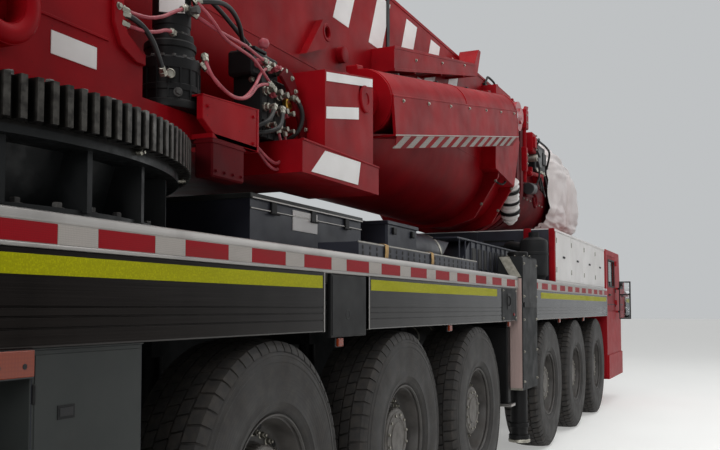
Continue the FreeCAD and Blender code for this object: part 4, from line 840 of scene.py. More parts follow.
def wheel_mesh():
    """Tyre, rim and hub about the y axis, outer side towards +y."""
    work = Work()
    carcass = TYRE_RADIUS - TREAD_DEPTH
    wall = [(0.325, 0.1565), (0.345, 0.158), (0.352, 0.170), (0.365, 0.178), (0.387, 0.1825), (0.392, 0.187),
            (0.40, 0.187), (0.405, 0.185), (0.44, 0.189), (0.50, 0.1918), (0.55, 0.1910), (0.575, 0.1885),
            (0.578, 0.1905), (0.586, 0.1898), (0.589, 0.187), (0.605, 0.1845), (0.608, 0.1865),
            (0.616, 0.1855), (0.619, 0.1825), (0.637, 0.176), (0.650, 0.167), (carcass - 0.006, 0.150),
            (carcass, 0.125)]
    tyre = [(radius, -y) for radius, y in wall] + [(carcass + 0.001, 0.0)] + wall[::-1]
    work.turned(tyre, (0, 0, 0), LEFT, 112, 0, ends=False)
    step = 2 * math.pi / TREAD_PITCHES
    # rows of tread blocks: (inner edge, outer edge, share of the pitch, shift, slant, drops of both edges)
    rows = ((-0.160, -0.098, 0.86, 0.0, 0.05, 0.012, 0.002), (-0.088, -0.036, 0.9, 0.5, 0.1, 0.002, 0.0),
            (-0.027, 0.027, 0.93, 0.0, 0.12, 0.0, 0.0), (0.036, 0.088, 0.9, 0.5, 0.1, 0.0, 0.002),
            (0.098, 0.160, 0.86, 0.0, 0.05, 0.002, 0.012))
    for near, far, share, shift, slant, drop_near, drop_far in rows:
        for pitch in range(TREAD_PITCHES):
            begin = (pitch + shift) * step
            tread_block(work, near, far, begin, begin + share * step, slant * step, drop_near, drop_far)
    # shoulder ribs that carry the outer rows down to the wall
    for side in (-1, 1):
        for pitch in range(TREAD_PITCHES):
            begin, end = (pitch + 0.05) * step, (pitch + 0.05 + 0.86) * step
            points = []
            for radius, y in SHOULDER:
                for angle in (begin, end):
                    points.append((radius * math.cos(angle), side * y, radius * math.sin(angle)))
            faces = [[0, 1, 3, 2], [2, 3, 5, 4], [4, 5, 7, 6]]
            faces += [[8 + 2 * k, 10 + 2 * k, 2 + 2 * k, 2 * k] for k in range(3)]
            faces += [[1 + 2 * k, 3 + 2 * k, 11 + 2 * k, 9 + 2 * k] for k in range(3)]
            work.put(points, faces if side < 0 else [f[::-1] for f in faces], 0)
    rim = [(0.325, 0.1565), (0.330, 0.166), (0.337, 0.166), (0.340, 0.158), (0.336, 0.148), (0.318, 0.142),
           (0.308, 0.11), (0.303, 0.055), (0.290, 0.040), (0.268, 0.036), (0.245, 0.034), (0.222, 0.034),
           (0.206, 0.030), (0.195, 0.036)]
    hub = [(0.195, 0.036), (0.192, 0.046), (0.190, 0.106), (0.184, 0.113), (0.166, 0.116), (0.164, 0.121),
           (0.130, 0.1235), (0.126, 0.118), (0.102, 0.118), (0.098, 0.1245), (0.03, 0.125), (0.0, 0.125)]
    work.turned(rim[::-1], (0, 0, 0), LEFT, 80, 1, ends=False)
    work.turned(hub, (0, 0, 0), LEFT, 64, 2, ends=False)
    work.turned([(0.0, -0.06), (0.15, -0.06), (0.15, -0.02), (0.285, -0.02), (0.300, -0.11), (0.31, -0.15),
                 (0.325, -0.1565)], (0, 0, 0), LEFT, 56, 1, ends=False)
    for _, x, z in spaced(22, 0.245):
        centre = (x, 0.033, z)
        work.turned([(0.0185, 0), (0.0185, 0.004), (0.0155, 0.006)], centre, LEFT, 12, 3)
        work.turned([(0.0145, 0.004), (0.0145, 0.022), (0.012, 0.026), (0.0085, 0.0265), (0.0085, 0.036),
                     (0.006, 0.038)], centre, LEFT, 6, 3)
    # ribs along the hub drum and the bolts of its cover
    for angle, _, _ in spaced(36):
        facing = Matrix.Rotation(-angle, 4, "Y")
        work.block((0.186, 0.1945), (0.05, 0.104), (-0.004, 0.004), 2, 0.0015, facing)
    for _, x, z in spaced(12, 0.148, 0.5):
        work.bolt((x, 0.12, z), LEFT, 0.018, 3, washer=False)
    for _, x, z in spaced(10, 0.281):
        work.turned([(0.019, 0), (0.017, 0.002)], (x, 0.0385, z), LEFT, 14, 4)
    return work


wheel_data = wheel_mesh().made("wheel_pattern", None, "", RUBBER, RIM, HUB, ZINC, SEAL, sharp=38, local=True)
pattern = wheel_data.data
bpy.data.objects.remove(wheel_data)
for number in range(1, 9):
    for side, sign in SIDES:
        low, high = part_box(f"wheel_{number}_{side}")
        wheel = in_scene(f"tyre_and_rim_{number}_{side}", pattern)
        facing = Matrix.Rotation(math.pi if sign < 0 else 0.0, 4, "Z")
        wheel.matrix_world = Matrix.Translation((low + high) / 2) @ facing
        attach(wheel, f"wheel_{number}_{side}")
        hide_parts(f"wheel_{number}_{side}")


# Skirts, edge profiles and tape

POST_HALF = 0.31
FRONT_POST = 5.95
REAR_POST = -4.40
EDGE_RUNS = ((TAIL, REAR_POST - POST_HALF - 0.025), (REAR_POST + POST_HALF + 0.025,
        FRONT_POST - POST_HALF - 0.025), (FRONT_POST + POST_HALF + 0.025, DECK_FRONT))
SKIRT_RUNS = ((REAR_POST + POST_HALF + 0.04, 1.55), (2.11, 5.55), (6.35, DECK_FRONT))
EDGE_SECTION = ((1.46, 1.69), (1.496, 1.69), (1.50, 1.694), (1.50, 1.702), (1.4965, 1.706), (1.4965, 1.772),
                (1.50, 1.776), (1.50, 1.797), (1.497, 1.804), (1.489, 1.808), (1.46, 1.808))
TAPE_PERIOD = 0.484
TAPE_RED_LENGTH = 0.30
TAPE_START = -0.121
# Lime stripe on the skirts: (rear end, front end)
STRIPES = ((SKIRT_RUNS[0][0] + 0.02, 1.525), (2.14, 4.86), (6.6, DECK_FRONT - 0.1))


def skirt_section():
    """The skirt sheet across: flat, with three rolled grooves at half its height."""
    front = [(1.4995, 1.688)]
    for top in (1.517, 1.487, 1.452):
        front += [(1.4995, top), (1.4968, top - 0.0025), (1.4968, top - 0.0045), (1.4995, top - 0.007)]
    front += [(1.4995, 1.396), (1.495, 1.39)]
    back = [(1.474, 1.39), (1.472, 1.394), (1.472, 1.688)]
    return front + back


def side_dress():
    work = Work()
    for run in EDGE_RUNS:
        work.slab([(y, z) for y, z in EDGE_SECTION], "yz", run, 0, 0.002)
    for run in SKIRT_RUNS:
        work.slab(skirt_section(), "yz", run, 1, 0.002)
        for end in run:
            inner = min(max(end, run[0] + 0.004), run[1] - 0.004)
            work.block((inner - 0.004, inner + 0.004), (1.474, 1.5022), (1.3885, 1.6885), 0, 0.0015)
    # closing panel between the rear and middle skirts, with its oval key plate
    work.block((1.63, 2.08), (1.472, 1.496), (1.357, 1.688), 2, 0.004)
    work.block((1.642, 2.068), (1.49, 1.4990), (1.368, 1.678), 2, 0.003)
    work.turned([(0.028, 0), (0.028, 0.0015), (0.022, 0.002), (0.014, -0.004), (0, -0.004)],
                (1.83, 1.4985, 1.475), LEFT, 20, 3)
    work.mirror()
    piece = work.made("edge_profiles_and_skirts", "carrier", "skirt_aluminium", EDGE, SKIRT, BLACK, SEAL,
            sharp=25)
    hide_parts("side_skirts")


def tape():
    work = Work()
    for run in EDGE_RUNS:
        begin, end = run[0] + 0.015, run[1] - 0.015
        first = math.floor((begin - TAPE_START) / TAPE_PERIOD) - 1
        for k in range(first, first + 40):
            red = TAPE_START + k * TAPE_PERIOD
            for finish, a, b in ((0, red, red + TAPE_RED_LENGTH), (1, red + TAPE_RED_LENGTH,
                    red + TAPE_PERIOD)):
                a, b = max(a, begin), min(b, end)
                if b - a > 0.01:
                    work.block((a + 0.0005, b - 0.0005), (1.4955, 1.4982), (1.7075, 1.7705), finish, 0.0006)
    for begin, end in STRIPES:
        work.block((begin, end), (1.4985, 1.5008), (1.61, 1.672), 2, 0.0006)
    work.mirror()
    work.made("reflective_tape", "carrier", "skirt_aluminium", TAPE_RED, TAPE_WHITE, TAPE_LIME)


side_dress()
tape()


# Lamps

def lamp_dress():
    work = Work()
    # side marker bar, with its screws
    work.block((-0.80, -0.385), (1.478, 1.492), (1.30, 1.39), 0, 0.003)
    work.block((-0.795, -0.39), (1.488, 1.4995), (1.305, 1.385), 1, 0.006)
    for x in (-0.53, -0.43):
        work.turned([(0.009, 0), (0.009, 0.001), (0.005, 0.0015)], (x, 1.4992, 1.337), LEFT, 12, 6)
    for place in (1.75, 3.6, 5.3, 7.6, 9.2):
        # the first hangs under the closing panel
        top = 1.355 if place < 2 else 1.39
        work.block((place - 0.032, place + 0.032), (1.474, 1.482), (top - 0.05, top), 0, 0.002)
        work.block((place - 0.029, place + 0.029), (1.48, 1.498), (top - 0.047, top - 0.003), 1, 0.006)
    # rear lamps: a housing and five chambers
    work.block((-4.985, -4.94), (1.15, 1.46), (1.51, 1.69), 0, 0.004)
    for k, finish in enumerate((3, 1, 3, 4, 3)):
        near = 1.158 + k * 0.0595
        work.block((-4.9995, -4.98), (near, near + 0.056), (1.52, 1.68), finish, 0.008)
    # headlamps: bezel, two reflectors and the cover glass
    work.block((CAB_FRONT - 0.025, CAB_FRONT - 0.011), (0.95, 1.35), (0.87, 1.05), 0, 0.004)
    for y in (1.05, 1.25):
        work.turned([(0.082, 0.0), (0.082, 0.008), (0.07, 0.009), (0.055, -0.012), (0.02, -0.02),
                (0, -0.02)], (CAB_FRONT - 0.012, y, 0.96), AHEAD, 28, 5)
        work.turned([(0.078, 0.0), (0.074, 0.004), (0.04, 0.008), (0, 0.009)],
                    (CAB_FRONT - 0.0095, y, 0.96), AHEAD, 28, 4)
    work.mirror()
    piece = work.made("lamps_and_markers", "carrier", "lamp_plastic", PLASTIC, AMBER, ZINC, RED_LENS,
            CLEAR_LENS, MIRROR, SEAL)
    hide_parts("lamps")


lamp_dress()


# Boxes beside the frame, deck boxes and tanks

# Axis of the air tanks above the ground
TANK_HEIGHT = 2.005


def box_dress():
    work = Work()
    # skin and door of the grey control box, its rain lip, hinges and the small latch
    work.block((-0.387, 0.135), (1.152, 1.4815), (0.548, 1.3865), 0, 0.006)
    work.block((-0.374, 0.122), (1.4795, 1.4845), (0.560, 1.368), 0, 0.003)
    work.block((-0.389, 0.137), (1.10, 1.4855), (1.383, 1.3885), 0, 0.002)
    work.block((-0.28, -0.205), (1.483, 1.487), (1.163, 1.207), 1, 0.002)
    work.block((-0.272, -0.213), (1.486, 1.4885), (1.172, 1.198), 2, 0.002)
    for z in (0.70, 1.22):
        work.rod((-0.378, 1.484, z), (-0.378, 1.484, z + 0.06), 0.006, 10, 1)
    work.mirror()
    work.made("control_box_doors", "carrier", "box_paint", GREY, BLACK, SEAL)

    work = Work()
    # lids, seams and catches of the two deck lockers; louvres of the hood
    for x0, x1, y0, y1 in ((1.56, 3.0, -1.05, -0.15), (1.56, 3.3, 0.2, 1.15)):
        work.block((x0 - 0.012, x1 + 0.012), (y0 - 0.012, y1 + 0.012), (2.095, 2.125), 0, 0.004)
        outer = y0 if y0 < 0 else y1
        sign = -1 if y0 < 0 else 1
        for k in range(3):
            x = x0 + (x1 - x0) * (k + 0.5) / 3
            work.block((x - 0.03, x + 0.03), (outer, outer + sign * 0.014), (2.03, 2.10), 1, 0.004)
            work.rod((x - 0.05, outer + sign * 0.016, 2.03), (x + 0.05, outer + sign * 0.016, 2.03), 0.006,
                    8, 1)
    for k in range(9):
        x = 4.95 + k * 0.19
        work.block((x, x + 0.13), (-1.256, -1.249), (1.86, 2.04), 2, 0.002)
    # straps and fillers of the two long tanks
    for y in (-0.62, 0.62):
        for x in (3.95, 5.35, 6.75):
            work.turned([(0.209, 0), (0.211, 0.006), (0.211, 0.044), (0.209, 0.05)], (x, y, TANK_HEIGHT),
                    AHEAD, 40, 3)
        work.turned([(0.05, 0), (0.05, 0.03), (0.044, 0.036), (0, 0.036)], (4.6, y, 2.205), UP, 20, 1)
        for x, out in ((3.7, -1), (7.0, 1)):
            work.turned([(0.2, 0), (0.16, 0.022), (0.1, 0.036), (0, 0.042)], (x, y, TANK_HEIGHT),
                    (out, 0, 0), 36, 0)
    work.made("deck_box_fittings", "carrier", "box_paint", GREY, BLACK, SEAL, ZINC)

    work = Work()
    # perforated scaffold plank with two lashing straps
    for k in range(22):
        x = 2.16 + k * 0.105
        for z in (1.828, 1.862):
            work.turned([(0.013, 0), (0.013, 0.0012), (0.009, 0.0015)], (x, -1.4405, z), RIGHT, 10, 1)
    work.block((2.095, 4.455), (-1.4435, -1.435), (1.884, 1.894), 0, 0.002)
    work.block((2.095, 4.455), (-1.4435, -1.435), (1.80, 1.81), 0, 0.002)
    work.made("deck_plank_fittings", "carrier", "box_paint", ZINC_PLANK, SEAL)

    work = Work()
    for x, lean in ((2.5, 0.02), (3.35, -0.03)):
        path = [(-1.446, 1.81), (-1.449, 1.85), (-1.447, 1.893), (-1.435, 1.899), (-1.38, 1.900),
                (-1.30, 1.901), (-1.20, 1.900), (-1.176, 1.892), (-1.174, 1.85), (-1.174, 1.81)]
        points, faces = [], []
        for i, (y, z) in enumerate(path):
            slip = lean * i / len(path)
            for dx, up in ((-0.025, 0), (0.025, 0), (0.025, 0.002), (-0.025, 0.002)):
                points.append((x + dx + slip, y - up * (1 if i < 3 else 0),
                        z + up * (1 if 2 < i < 8 else 0)))
        for i in range(len(path) - 1):
            for k in range(4):
                j = (k + 1) % 4
                faces.append([4 * i + k, 4 * i + j, 4 * i + 4 + j, 4 * i + 4 + k])
        faces += [[0, 1, 2, 3], [4 * len(path) - 4 + k for k in (3, 2, 1, 0)]]
        work.put(points, faces)
    work.made("plank_lashing", "carrier", "box_paint", WEBBING, sharp=60)


box_dress()


# Slewing ring and the bolts round it

def ring_dress():
    work = Work()
    # rings of bolts: (how many, radius, height, size)
    for count, radius, z, size in ((48, 1.285, 1.85, 0.036), (60, 1.385, 2.24, 0.03)):
        for _, x, y in spaced(count, radius, 0.5):
            work.bolt((x, y, z), UP, size, 0)
    # grease nipples
    nipple = [(0.012, 0), (0.012, 0.02), (0.006, 0.026), (0.006, 0.034)]
    for _, x, y in spaced(12, 1.0, 0.3):
        out = Vector((x, y, 0))
        work.turned(nipple, out * 1.396 + Vector((0, 0, 2.09)), out, 8, 1)
    work.made("slewing_ring_bolts", "carrier", "slew_steel", IRON, ZINC)


ring_dress()


# Soft white sheet over the boom head

def head_sheet():
    """The tarpaulin drawn over the head and tied: a closed bag with folds that run from its ties."""
    ties = (11.36, 12.35)
    rows, around, squareness = 84, 132, 0.55
    # height and width of the bag along the head: (share of length, bottom, top, half width)
    keys = ((0.0, 2.66, 4.20, 0.70), (0.04, 2.63, 4.215, 0.74), (0.25, 2.60, 4.22, 0.77),
            (0.5, 2.58, 4.2, 0.775), (0.62, 2.57, 4.17, 0.77), (0.8, 2.60, 4.0, 0.76),
            (0.9, 2.7, 3.95, 0.72), (1.0, 2.93, 3.8, 0.6))
    points = []
    for i in range(rows + 1):
        t = i / rows
        x = 11.315 + t * 2.36
        for a, b in zip(keys, keys[1:]):
            if a[0] <= t <= b[0]:
                s = (t - a[0]) / (b[0] - a[0])
                bottom, top, half = (a[k] + (b[k] - a[k]) * s for k in (1, 2, 3))
        pinch = sum(math.exp(-((x - tie) / 0.07) ** 2) for tie in ties)
        middle, tall = (bottom + top) / 2, (top - bottom) / 2
        for _, c, s in spaced(around):
            y = half * math.copysign(abs(c) ** squareness, c)
            z = middle + tall * math.copysign(abs(s) ** squareness, s)
            spot = Vector((x, y, z))
            folds = noise.noise(Vector((x * 1.1, c * 3.4, s * 3.4))) * 0.065
            folds += noise.noise(Vector((x * 2.2 + 9, c * 8 + x * 1.5, s * 8))) * 0.042
            folds += abs(noise.noise(Vector((x * 0.9 + 3, c * 13 + x * 2.0, s * 13)))) * -0.055
            shrink = 0.035 + 0.07 * pinch - folds
            out = Vector((0, c, s))
            spot -= out * max(shrink, 0.0)
            spot.x += noise.noise(Vector((c * 5, s * 5, x * 2))) * 0.03 * (1 if 0 < t < 1 else 0.3)
            points.append((min(max(spot.x, 11.31), 13.69), spot.y, spot.z))
    # the nose: rings drawn in to a gathered point
    last = rows * around
    ring = points[last:last + around]
    centre = Vector((13.66, 0.0, 3.3))
    steps = 8
    for step in range(1, steps + 1):
        share = step / (steps + 1)
        for k in range(around):
            spot = Vector(ring[k]).lerp(centre, share)
            ripple = 0.015 * math.sin(share * math.pi) + 0.012 * math.sin(k * 0.9) * (1 - share)
            spot.x = min(13.695, spot.x + ripple)
            points.append(tuple(spot))
    points.append(tuple(centre))
    top = last + steps * around
    faces = skin(rows + steps, around)
    for k in range(around):
        faces.append([top + k, top + (k + 1) % around, len(points) - 1])
    work = Work()
    work.put(points, faces)
    piece = work.made("head_sheet", "head", "wrap_sheet", TARPAULIN, sharp=180)
    smooth = piece.modifiers.new("soft", "SUBSURF")
    smooth.levels = 1
    smooth.render_levels = 1
    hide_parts("head_wrap")


head_sheet()


# Gearbox, guard, valves and hoses on the platform

GEAR = (0.92, -1.0)
# Faces of the platform that carry fittings
PLATFORM_SIDE = 1.08
FOOT_SIDE = 1.25
SILL_SIDE = 1.29


def gearbox():
    """Slewing gearbox and its motor: foot, ribbed case, neck, motor with flanges and a blank plate."""
    work = Work()
    x, y = GEAR
    case = [(0.0, 2.421), (0.147, 2.421), (0.15, 2.425), (0.15, 2.452), (0.146, 2.459), (0.138, 2.462),
            (0.136, 2.50), (0.141, 2.505), (0.141, 2.53), (0.136, 2.535), (0.136, 2.60), (0.141, 2.605),
            (0.141, 2.65), (0.134, 2.66), (0.12, 2.664), (0.115, 2.69), (0.115, 2.705), (0.122, 2.71),
            (0.122, 2.734), (0.116, 2.742), (0.0, 2.742)]
    work.turned(case, (x, y, 0), UP, 56, 0)
    motor = [(0.0, 2.735), (0.1, 2.735), (0.104, 2.74), (0.104, 2.775), (0.098, 2.782), (0.088, 2.79),
            (0.086, 2.82), (0.09, 2.825), (0.09, 3.03), (0.086, 3.035), (0.086, 3.06), (0.098, 3.066),
            (0.098, 3.13), (0.09, 3.146), (0.04, 3.15), (0.0, 3.15)]
    work.turned(motor, (x + 0.01, y, 0), UP, 48, 0)
    for angle, c, s in spaced(16):
        work.bolt((x + 0.128 * c, y + 0.128 * s, 2.655), UP, 0.019, 1)
        work.bolt((x + 0.01 + 0.094 * c, y + 0.094 * s, 2.778), UP, 0.013, 1)
        facing = Matrix.Translation((x, y, 0)) @ Matrix.Rotation(angle + 0.2, 4, "Z")
        work.block((0.132, 0.1425), (-0.004, 0.004), (2.463, 2.604), 0, 0.001, facing)
    # blank plate towards the rear, on two spacers; oil level glass and drain plug
    facing = Matrix.Translation((x + 0.01, y, 0)) @ Matrix.Rotation(math.radians(-143), 4, "Z")
    work.block((0.098, 0.1015), (-0.058, 0.058), (2.868, 2.972), 2, 0.001, facing)
    work.block((0.088, 0.0985), (-0.045, 0.045), (2.88, 2.89), 0, 0.001, facing)
    work.block((0.088, 0.0985), (-0.045, 0.045), (2.95, 2.96), 0, 0.001, facing)
    work.turned([(0.022, 0), (0.022, 0.012), (0.017, 0.015), (0.015, 0.009), (0, 0.009)],
                (x - 0.11, y - 0.085, 2.57), (-0.79, -0.61, 0), 20, 3)
    work.bolt((x - 0.085, y - 0.11, 2.49), (-0.61, -0.79, 0), 0.03, 1)
    # two hose unions on the motor and a breather
    for dz in (0.0, 0.075):
        out = Vector((0.1, -1, 0)).normalized()
        spot = Vector((x + 0.01, y, 2.90 + dz)) + out * 0.085
        work.turned([(0.024, 0), (0.024, 0.02), (0.017, 0.022), (0.017, 0.04), (0.021, 0.041),
                (0.021, 0.058), (0.012, 0.06)], spot, out, 6, 1)
    work.turned([(0.012, 0), (0.012, 0.03), (0.02, 0.032), (0.02, 0.05), (0.01, 0.056)],
            (x + 0.05, y + 0.02, 3.148), UP, 12, 3)
    piece = work.made("slewing_gearbox", "upper", "machine_black", BLACK, IRON, WHITE, ZINC)
    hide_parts("upper_equipment")


def pinion_guard():
    """Folded red guard outside the pinion, its shelf, and the pinion case below in red darkened as painted
    shade.
    """
    work = Work()
    face = [(0.90, 2.375), (1.02, 2.30), (1.39, 2.30), (1.39, 2.515), (0.90, 2.485)]
    work.slab(face, "xz", (-1.20, -1.165), 0, 0.004)
    work.slab([(1.376, 2.297), (1.392, 2.297), (1.392, 2.52), (1.376, 2.517)], "xz", (-1.2035, -1.10), 2,
            0.002)
    work.slab([(0.90, 2.481), (1.39, 2.511), (1.39, 2.519), (0.90, 2.489)], "xz", (-1.2025, -1.12), 0, 0.002)
    work.block((0.98, 1.39), (-1.20, -1.08), (2.30, 2.325), 0, 0.003)
    work.block((0.98, 1.26), (-1.20, -1.10), (2.12, 2.31), 1, 0.008)
    work.block((0.975, 1.265), (-1.204, -1.096), (2.278, 2.292), 1, 0.002)
    for k in range(4):
        work.bolt((1.01 + k * 0.073, -1.2, 2.15), RIGHT, 0.014, 1)
    for spot in ((0.94, 2.44), (1.34, 2.47), (1.34, 2.335)):
        work.bolt((spot[0], -1.2, spot[1]), RIGHT, 0.014, 0)
    # slanted rib between the valves and the foot box, bolted along its edge
    rib = [(1.74, 2.79), (1.80, 2.85), (1.88, 2.83), (2.045, 2.60), (2.045, 2.43), (1.985, 2.43),
            (1.955, 2.58), (1.83, 2.73)]
    work.slab(rib, "xz", (-1.135, -1.115), 1, 0.004)
    work.block((1.93, 2.045), (-1.12, -0.9), (2.425, 2.445), 1, 0.003)
    for k in range(5):
        t = k / 4
        work.bolt((1.86 + 0.165 * t, -1.135, 2.80 - 0.26 * t), RIGHT, 0.02, 3)
    work.made("pinion_guard", "upper", "machine_black", RED, RED_SHADED, TAPE_RED, ZINC)


def valve_block():
    """Control valves: slices bolted side by side, solenoids, pressure caps, unions and a ball on top."""
    work = Work()
    for k in range(4):
        x = 1.62 + k * 0.0705
        work.block((x, x + 0.066), (-1.08, -0.90), (2.43, 2.775), 0, 0.006)
        work.block((x + 0.008, x + 0.058), (-1.092, -1.078), (2.47, 2.53), 0, 0.003)
        for z, size in ((2.60, 0.021), (2.69, 0.024), (2.50, 0.019)):
            centre = (x + 0.033, -1.08, z)
            work.turned([(size * 1.15, 0), (size * 1.15, 0.01), (size, 0.012), (size, 0.03),
                    (size * 0.8, 0.034)], centre, RIGHT, 6, 2 if k % 2 else 1)
            work.turned([(size * 0.6, 0.03), (size * 0.6, 0.055), (size * 0.72, 0.057), (size * 0.72, 0.07),
                         (size * 0.4, 0.073)], centre, RIGHT, 14, 1)
    for z in (2.455, 2.745):
        work.rod((1.60, -1.03, z), (1.915, -1.03, z), 0.009, 12, 1)
        work.bolt((1.602, -1.03, z), BACK, 0.024, 1)
        work.bolt((1.905, -1.03, z), AHEAD, 0.024, 1)
    # head of the block, leaning to the rear, with caps of silvered and rose coated steel
    work.block((1.56, 1.84), (-1.06, -0.90), (2.765, 2.905), 0, 0.012)
    work.block((1.57, 1.70), (-1.068, -0.95), (2.90, 2.918), 0, 0.004)
    for k, finish in enumerate((2, 1, 2, 1)):
        x = 1.60 + k * 0.068
        work.turned([(0.026, 0), (0.026, 0.014), (0.021, 0.016), (0.021, 0.05), (0.016, 0.056),
                (0.012, 0.056), (0.012, 0.075), (0, 0.078)], (x, -1.06, 2.83), RIGHT, 8, finish)
        work.turned([(0.018, 0), (0.018, 0.012), (0.014, 0.014), (0.014, 0.034), (0.008, 0.037)],
                    (x, -0.99, 2.905), UP, 8, finish)
    work.turned([(0.008, 0.0), (0.008, 0.035), (0.022, 0.042), (0.03, 0.058), (0.03, 0.074), (0.02, 0.09),
                 (0, 0.094)], (1.70, -1.03, 2.905), (0.1, -0.2, 1), 20, 2)
    work.turned([(0.036, 0), (0.036, 0.02), (0.031, 0.026), (0.022, 0.026), (0.022, 0.008), (0, 0.008)],
                (1.87, -1.092, 2.66), RIGHT, 24, 3)
    work.made("control_valves", "upper", "machine_black", BLACK, ZINC, SLEEVE, BRASS)


def platform_boxes():
    """Oil tank and tool locker beside the boom, with lids, seams, hinges and catches."""
    work = Work()
    near, far = 0.85, 1.06
    for sign in (-1, 1):
        work.block((-1.4, -0.2), across(sign, near, far), (2.6, 3.28), 0, 0.02)
        work.block((-1.405, -0.195), across(sign, near * 0.995, far * 1.006), (3.265, 3.30), 0, 0.006)
        for x0, x1 in ((-1.36, -0.82), (-0.78, -0.24)):
            middle = (x0 + x1) / 2
            work.block((x0, x1), across(sign, far, far + 0.006), (2.66, 3.22), 0, 0.003)
            work.block((middle - 0.045, middle + 0.045), across(sign, far + 0.004, far + 0.016),
                    (3.10, 3.125), 1, 0.004)
            for z in (2.74, 3.10):
                hinge = (x0 + 0.015, sign * (far + 0.008))
                work.rod((*hinge, z), (*hinge, z + 0.06), 0.007, 10, 2)
        work.turned([(0.05, 0), (0.05, 0.02), (0.042, 0.026), (0, 0.026)],
                (-1.2, sign * (near + far) / 2, 3.30), UP, 24, 2)
    work.made("platform_tank_and_locker", "upper", "machine_black", RED, BLACK, ZINC)


def platform_hoses():
    """Rose pilot lines looping between the gearbox and the valves, and black pressure hoses."""
    rose = (
        ((0.96, -1.09, 2.90), (1.02, -1.16, 2.84), (1.14, -1.17, 2.83), (1.33, -1.17, 2.83),
         (1.50, -1.13, 2.83),
         (1.60, -1.12, 2.83)),
        ((0.96, -1.09, 2.975), (1.01, -1.17, 2.88), (1.10, -1.18, 2.80), (1.28, -1.18, 2.79),
         (1.46, -1.15, 2.79),
         (1.62, -1.15, 2.69)),
        ((1.01, -1.13, 2.70), (0.99, -1.16, 2.64), (1.04, -1.18, 2.57), (1.17, -1.185, 2.535),
         (1.29, -1.18, 2.55),
         (1.42, -1.17, 2.66), (1.52, -1.14, 2.76), (1.62, -1.12, 2.80)),
        ((1.01, -1.12, 2.66), (1.02, -1.17, 2.60), (1.10, -1.19, 2.545), (1.20, -1.19, 2.53),
         (1.34, -1.18, 2.57),
         (1.46, -1.16, 2.68), (1.60, -1.15, 2.70)),
        ((1.45, -1.04, 2.45), (1.49, -1.12, 2.36), (1.58, -1.14, 2.27), (1.69, -1.14, 2.25),
         (1.79, -1.13, 2.31),
         (1.83, -1.12, 2.42), (1.80, -1.12, 2.50)),
        ((1.42, -1.02, 2.45), (1.46, -1.12, 2.38), (1.56, -1.15, 2.30), (1.68, -1.15, 2.28),
         (1.76, -1.14, 2.35),
         (1.73, -1.13, 2.46), (1.72, -1.12, 2.50)),
        ((0.47, -1.085, 2.70), (0.56, -1.11, 2.69), (0.66, -1.12, 2.71), (0.74, -1.12, 2.75),
         (0.82, -1.09, 2.76)),
        ((0.47, -1.085, 2.76), (0.58, -1.11, 2.75), (0.70, -1.12, 2.79), (0.80, -1.11, 2.85),
         (0.90, -1.10, 2.90)),
    )
    hose_lines("rose_pilot_lines", "upper", SLEEVE, rose, 0.0085)
    black = (
        ((0.97, -1.10, 2.95), (1.06, -1.16, 2.98), (1.22, -1.14, 3.0), (1.40, -1.08, 2.98),
         (1.52, -1.02, 2.93),
         (1.60, -0.99, 2.92)),
        ((0.90, -0.90, 3.05), (1.10, -0.92, 3.14), (1.34, -0.95, 3.10), (1.55, -0.97, 3.0),
         (1.67, -0.99, 2.93)),
        ((1.66, -1.14, 2.60), (1.60, -1.16, 2.52), (1.52, -1.14, 2.47), (1.47, -1.06, 2.44),
         (1.46, -0.98, 2.44)),
        ((1.73, -1.15, 2.60), (1.68, -1.18, 2.50), (1.60, -1.17, 2.45), (1.52, -1.10, 2.43),
         (1.50, -1.0, 2.43)),
        ((1.87, -1.15, 2.69), (1.93, -1.16, 2.66), (1.97, -1.15, 2.57), (1.95, -1.10, 2.48),
         (1.92, -1.02, 2.445)),
        ((0.74, -1.10, 2.55), (0.66, -1.13, 2.62), (0.60, -1.12, 2.70), (0.52, -1.10, 2.74),
         (0.475, -1.085, 2.74)),
    )
    hose_lines("gearbox_pressure_hoses", "upper", HOSE, black, 0.0125)
    work = Work()
    for row in rose + black:
        for end, following in ((row[0], row[1]), (row[-1], row[-2])):
            out = Vector(following) - Vector(end)
            work.turned([(0.019, -0.004), (0.019, 0.012), (0.0155, 0.014), (0.0155, 0.036), (0.013, 0.038)],
                    end, out, 6, 0)
    work.made("hose_end_fittings", "upper", "machine_black", ZINC)


gearbox()
pinion_guard()
valve_block()
platform_boxes()
platform_hoses()


# Platform, foot boxes and lashing eyes

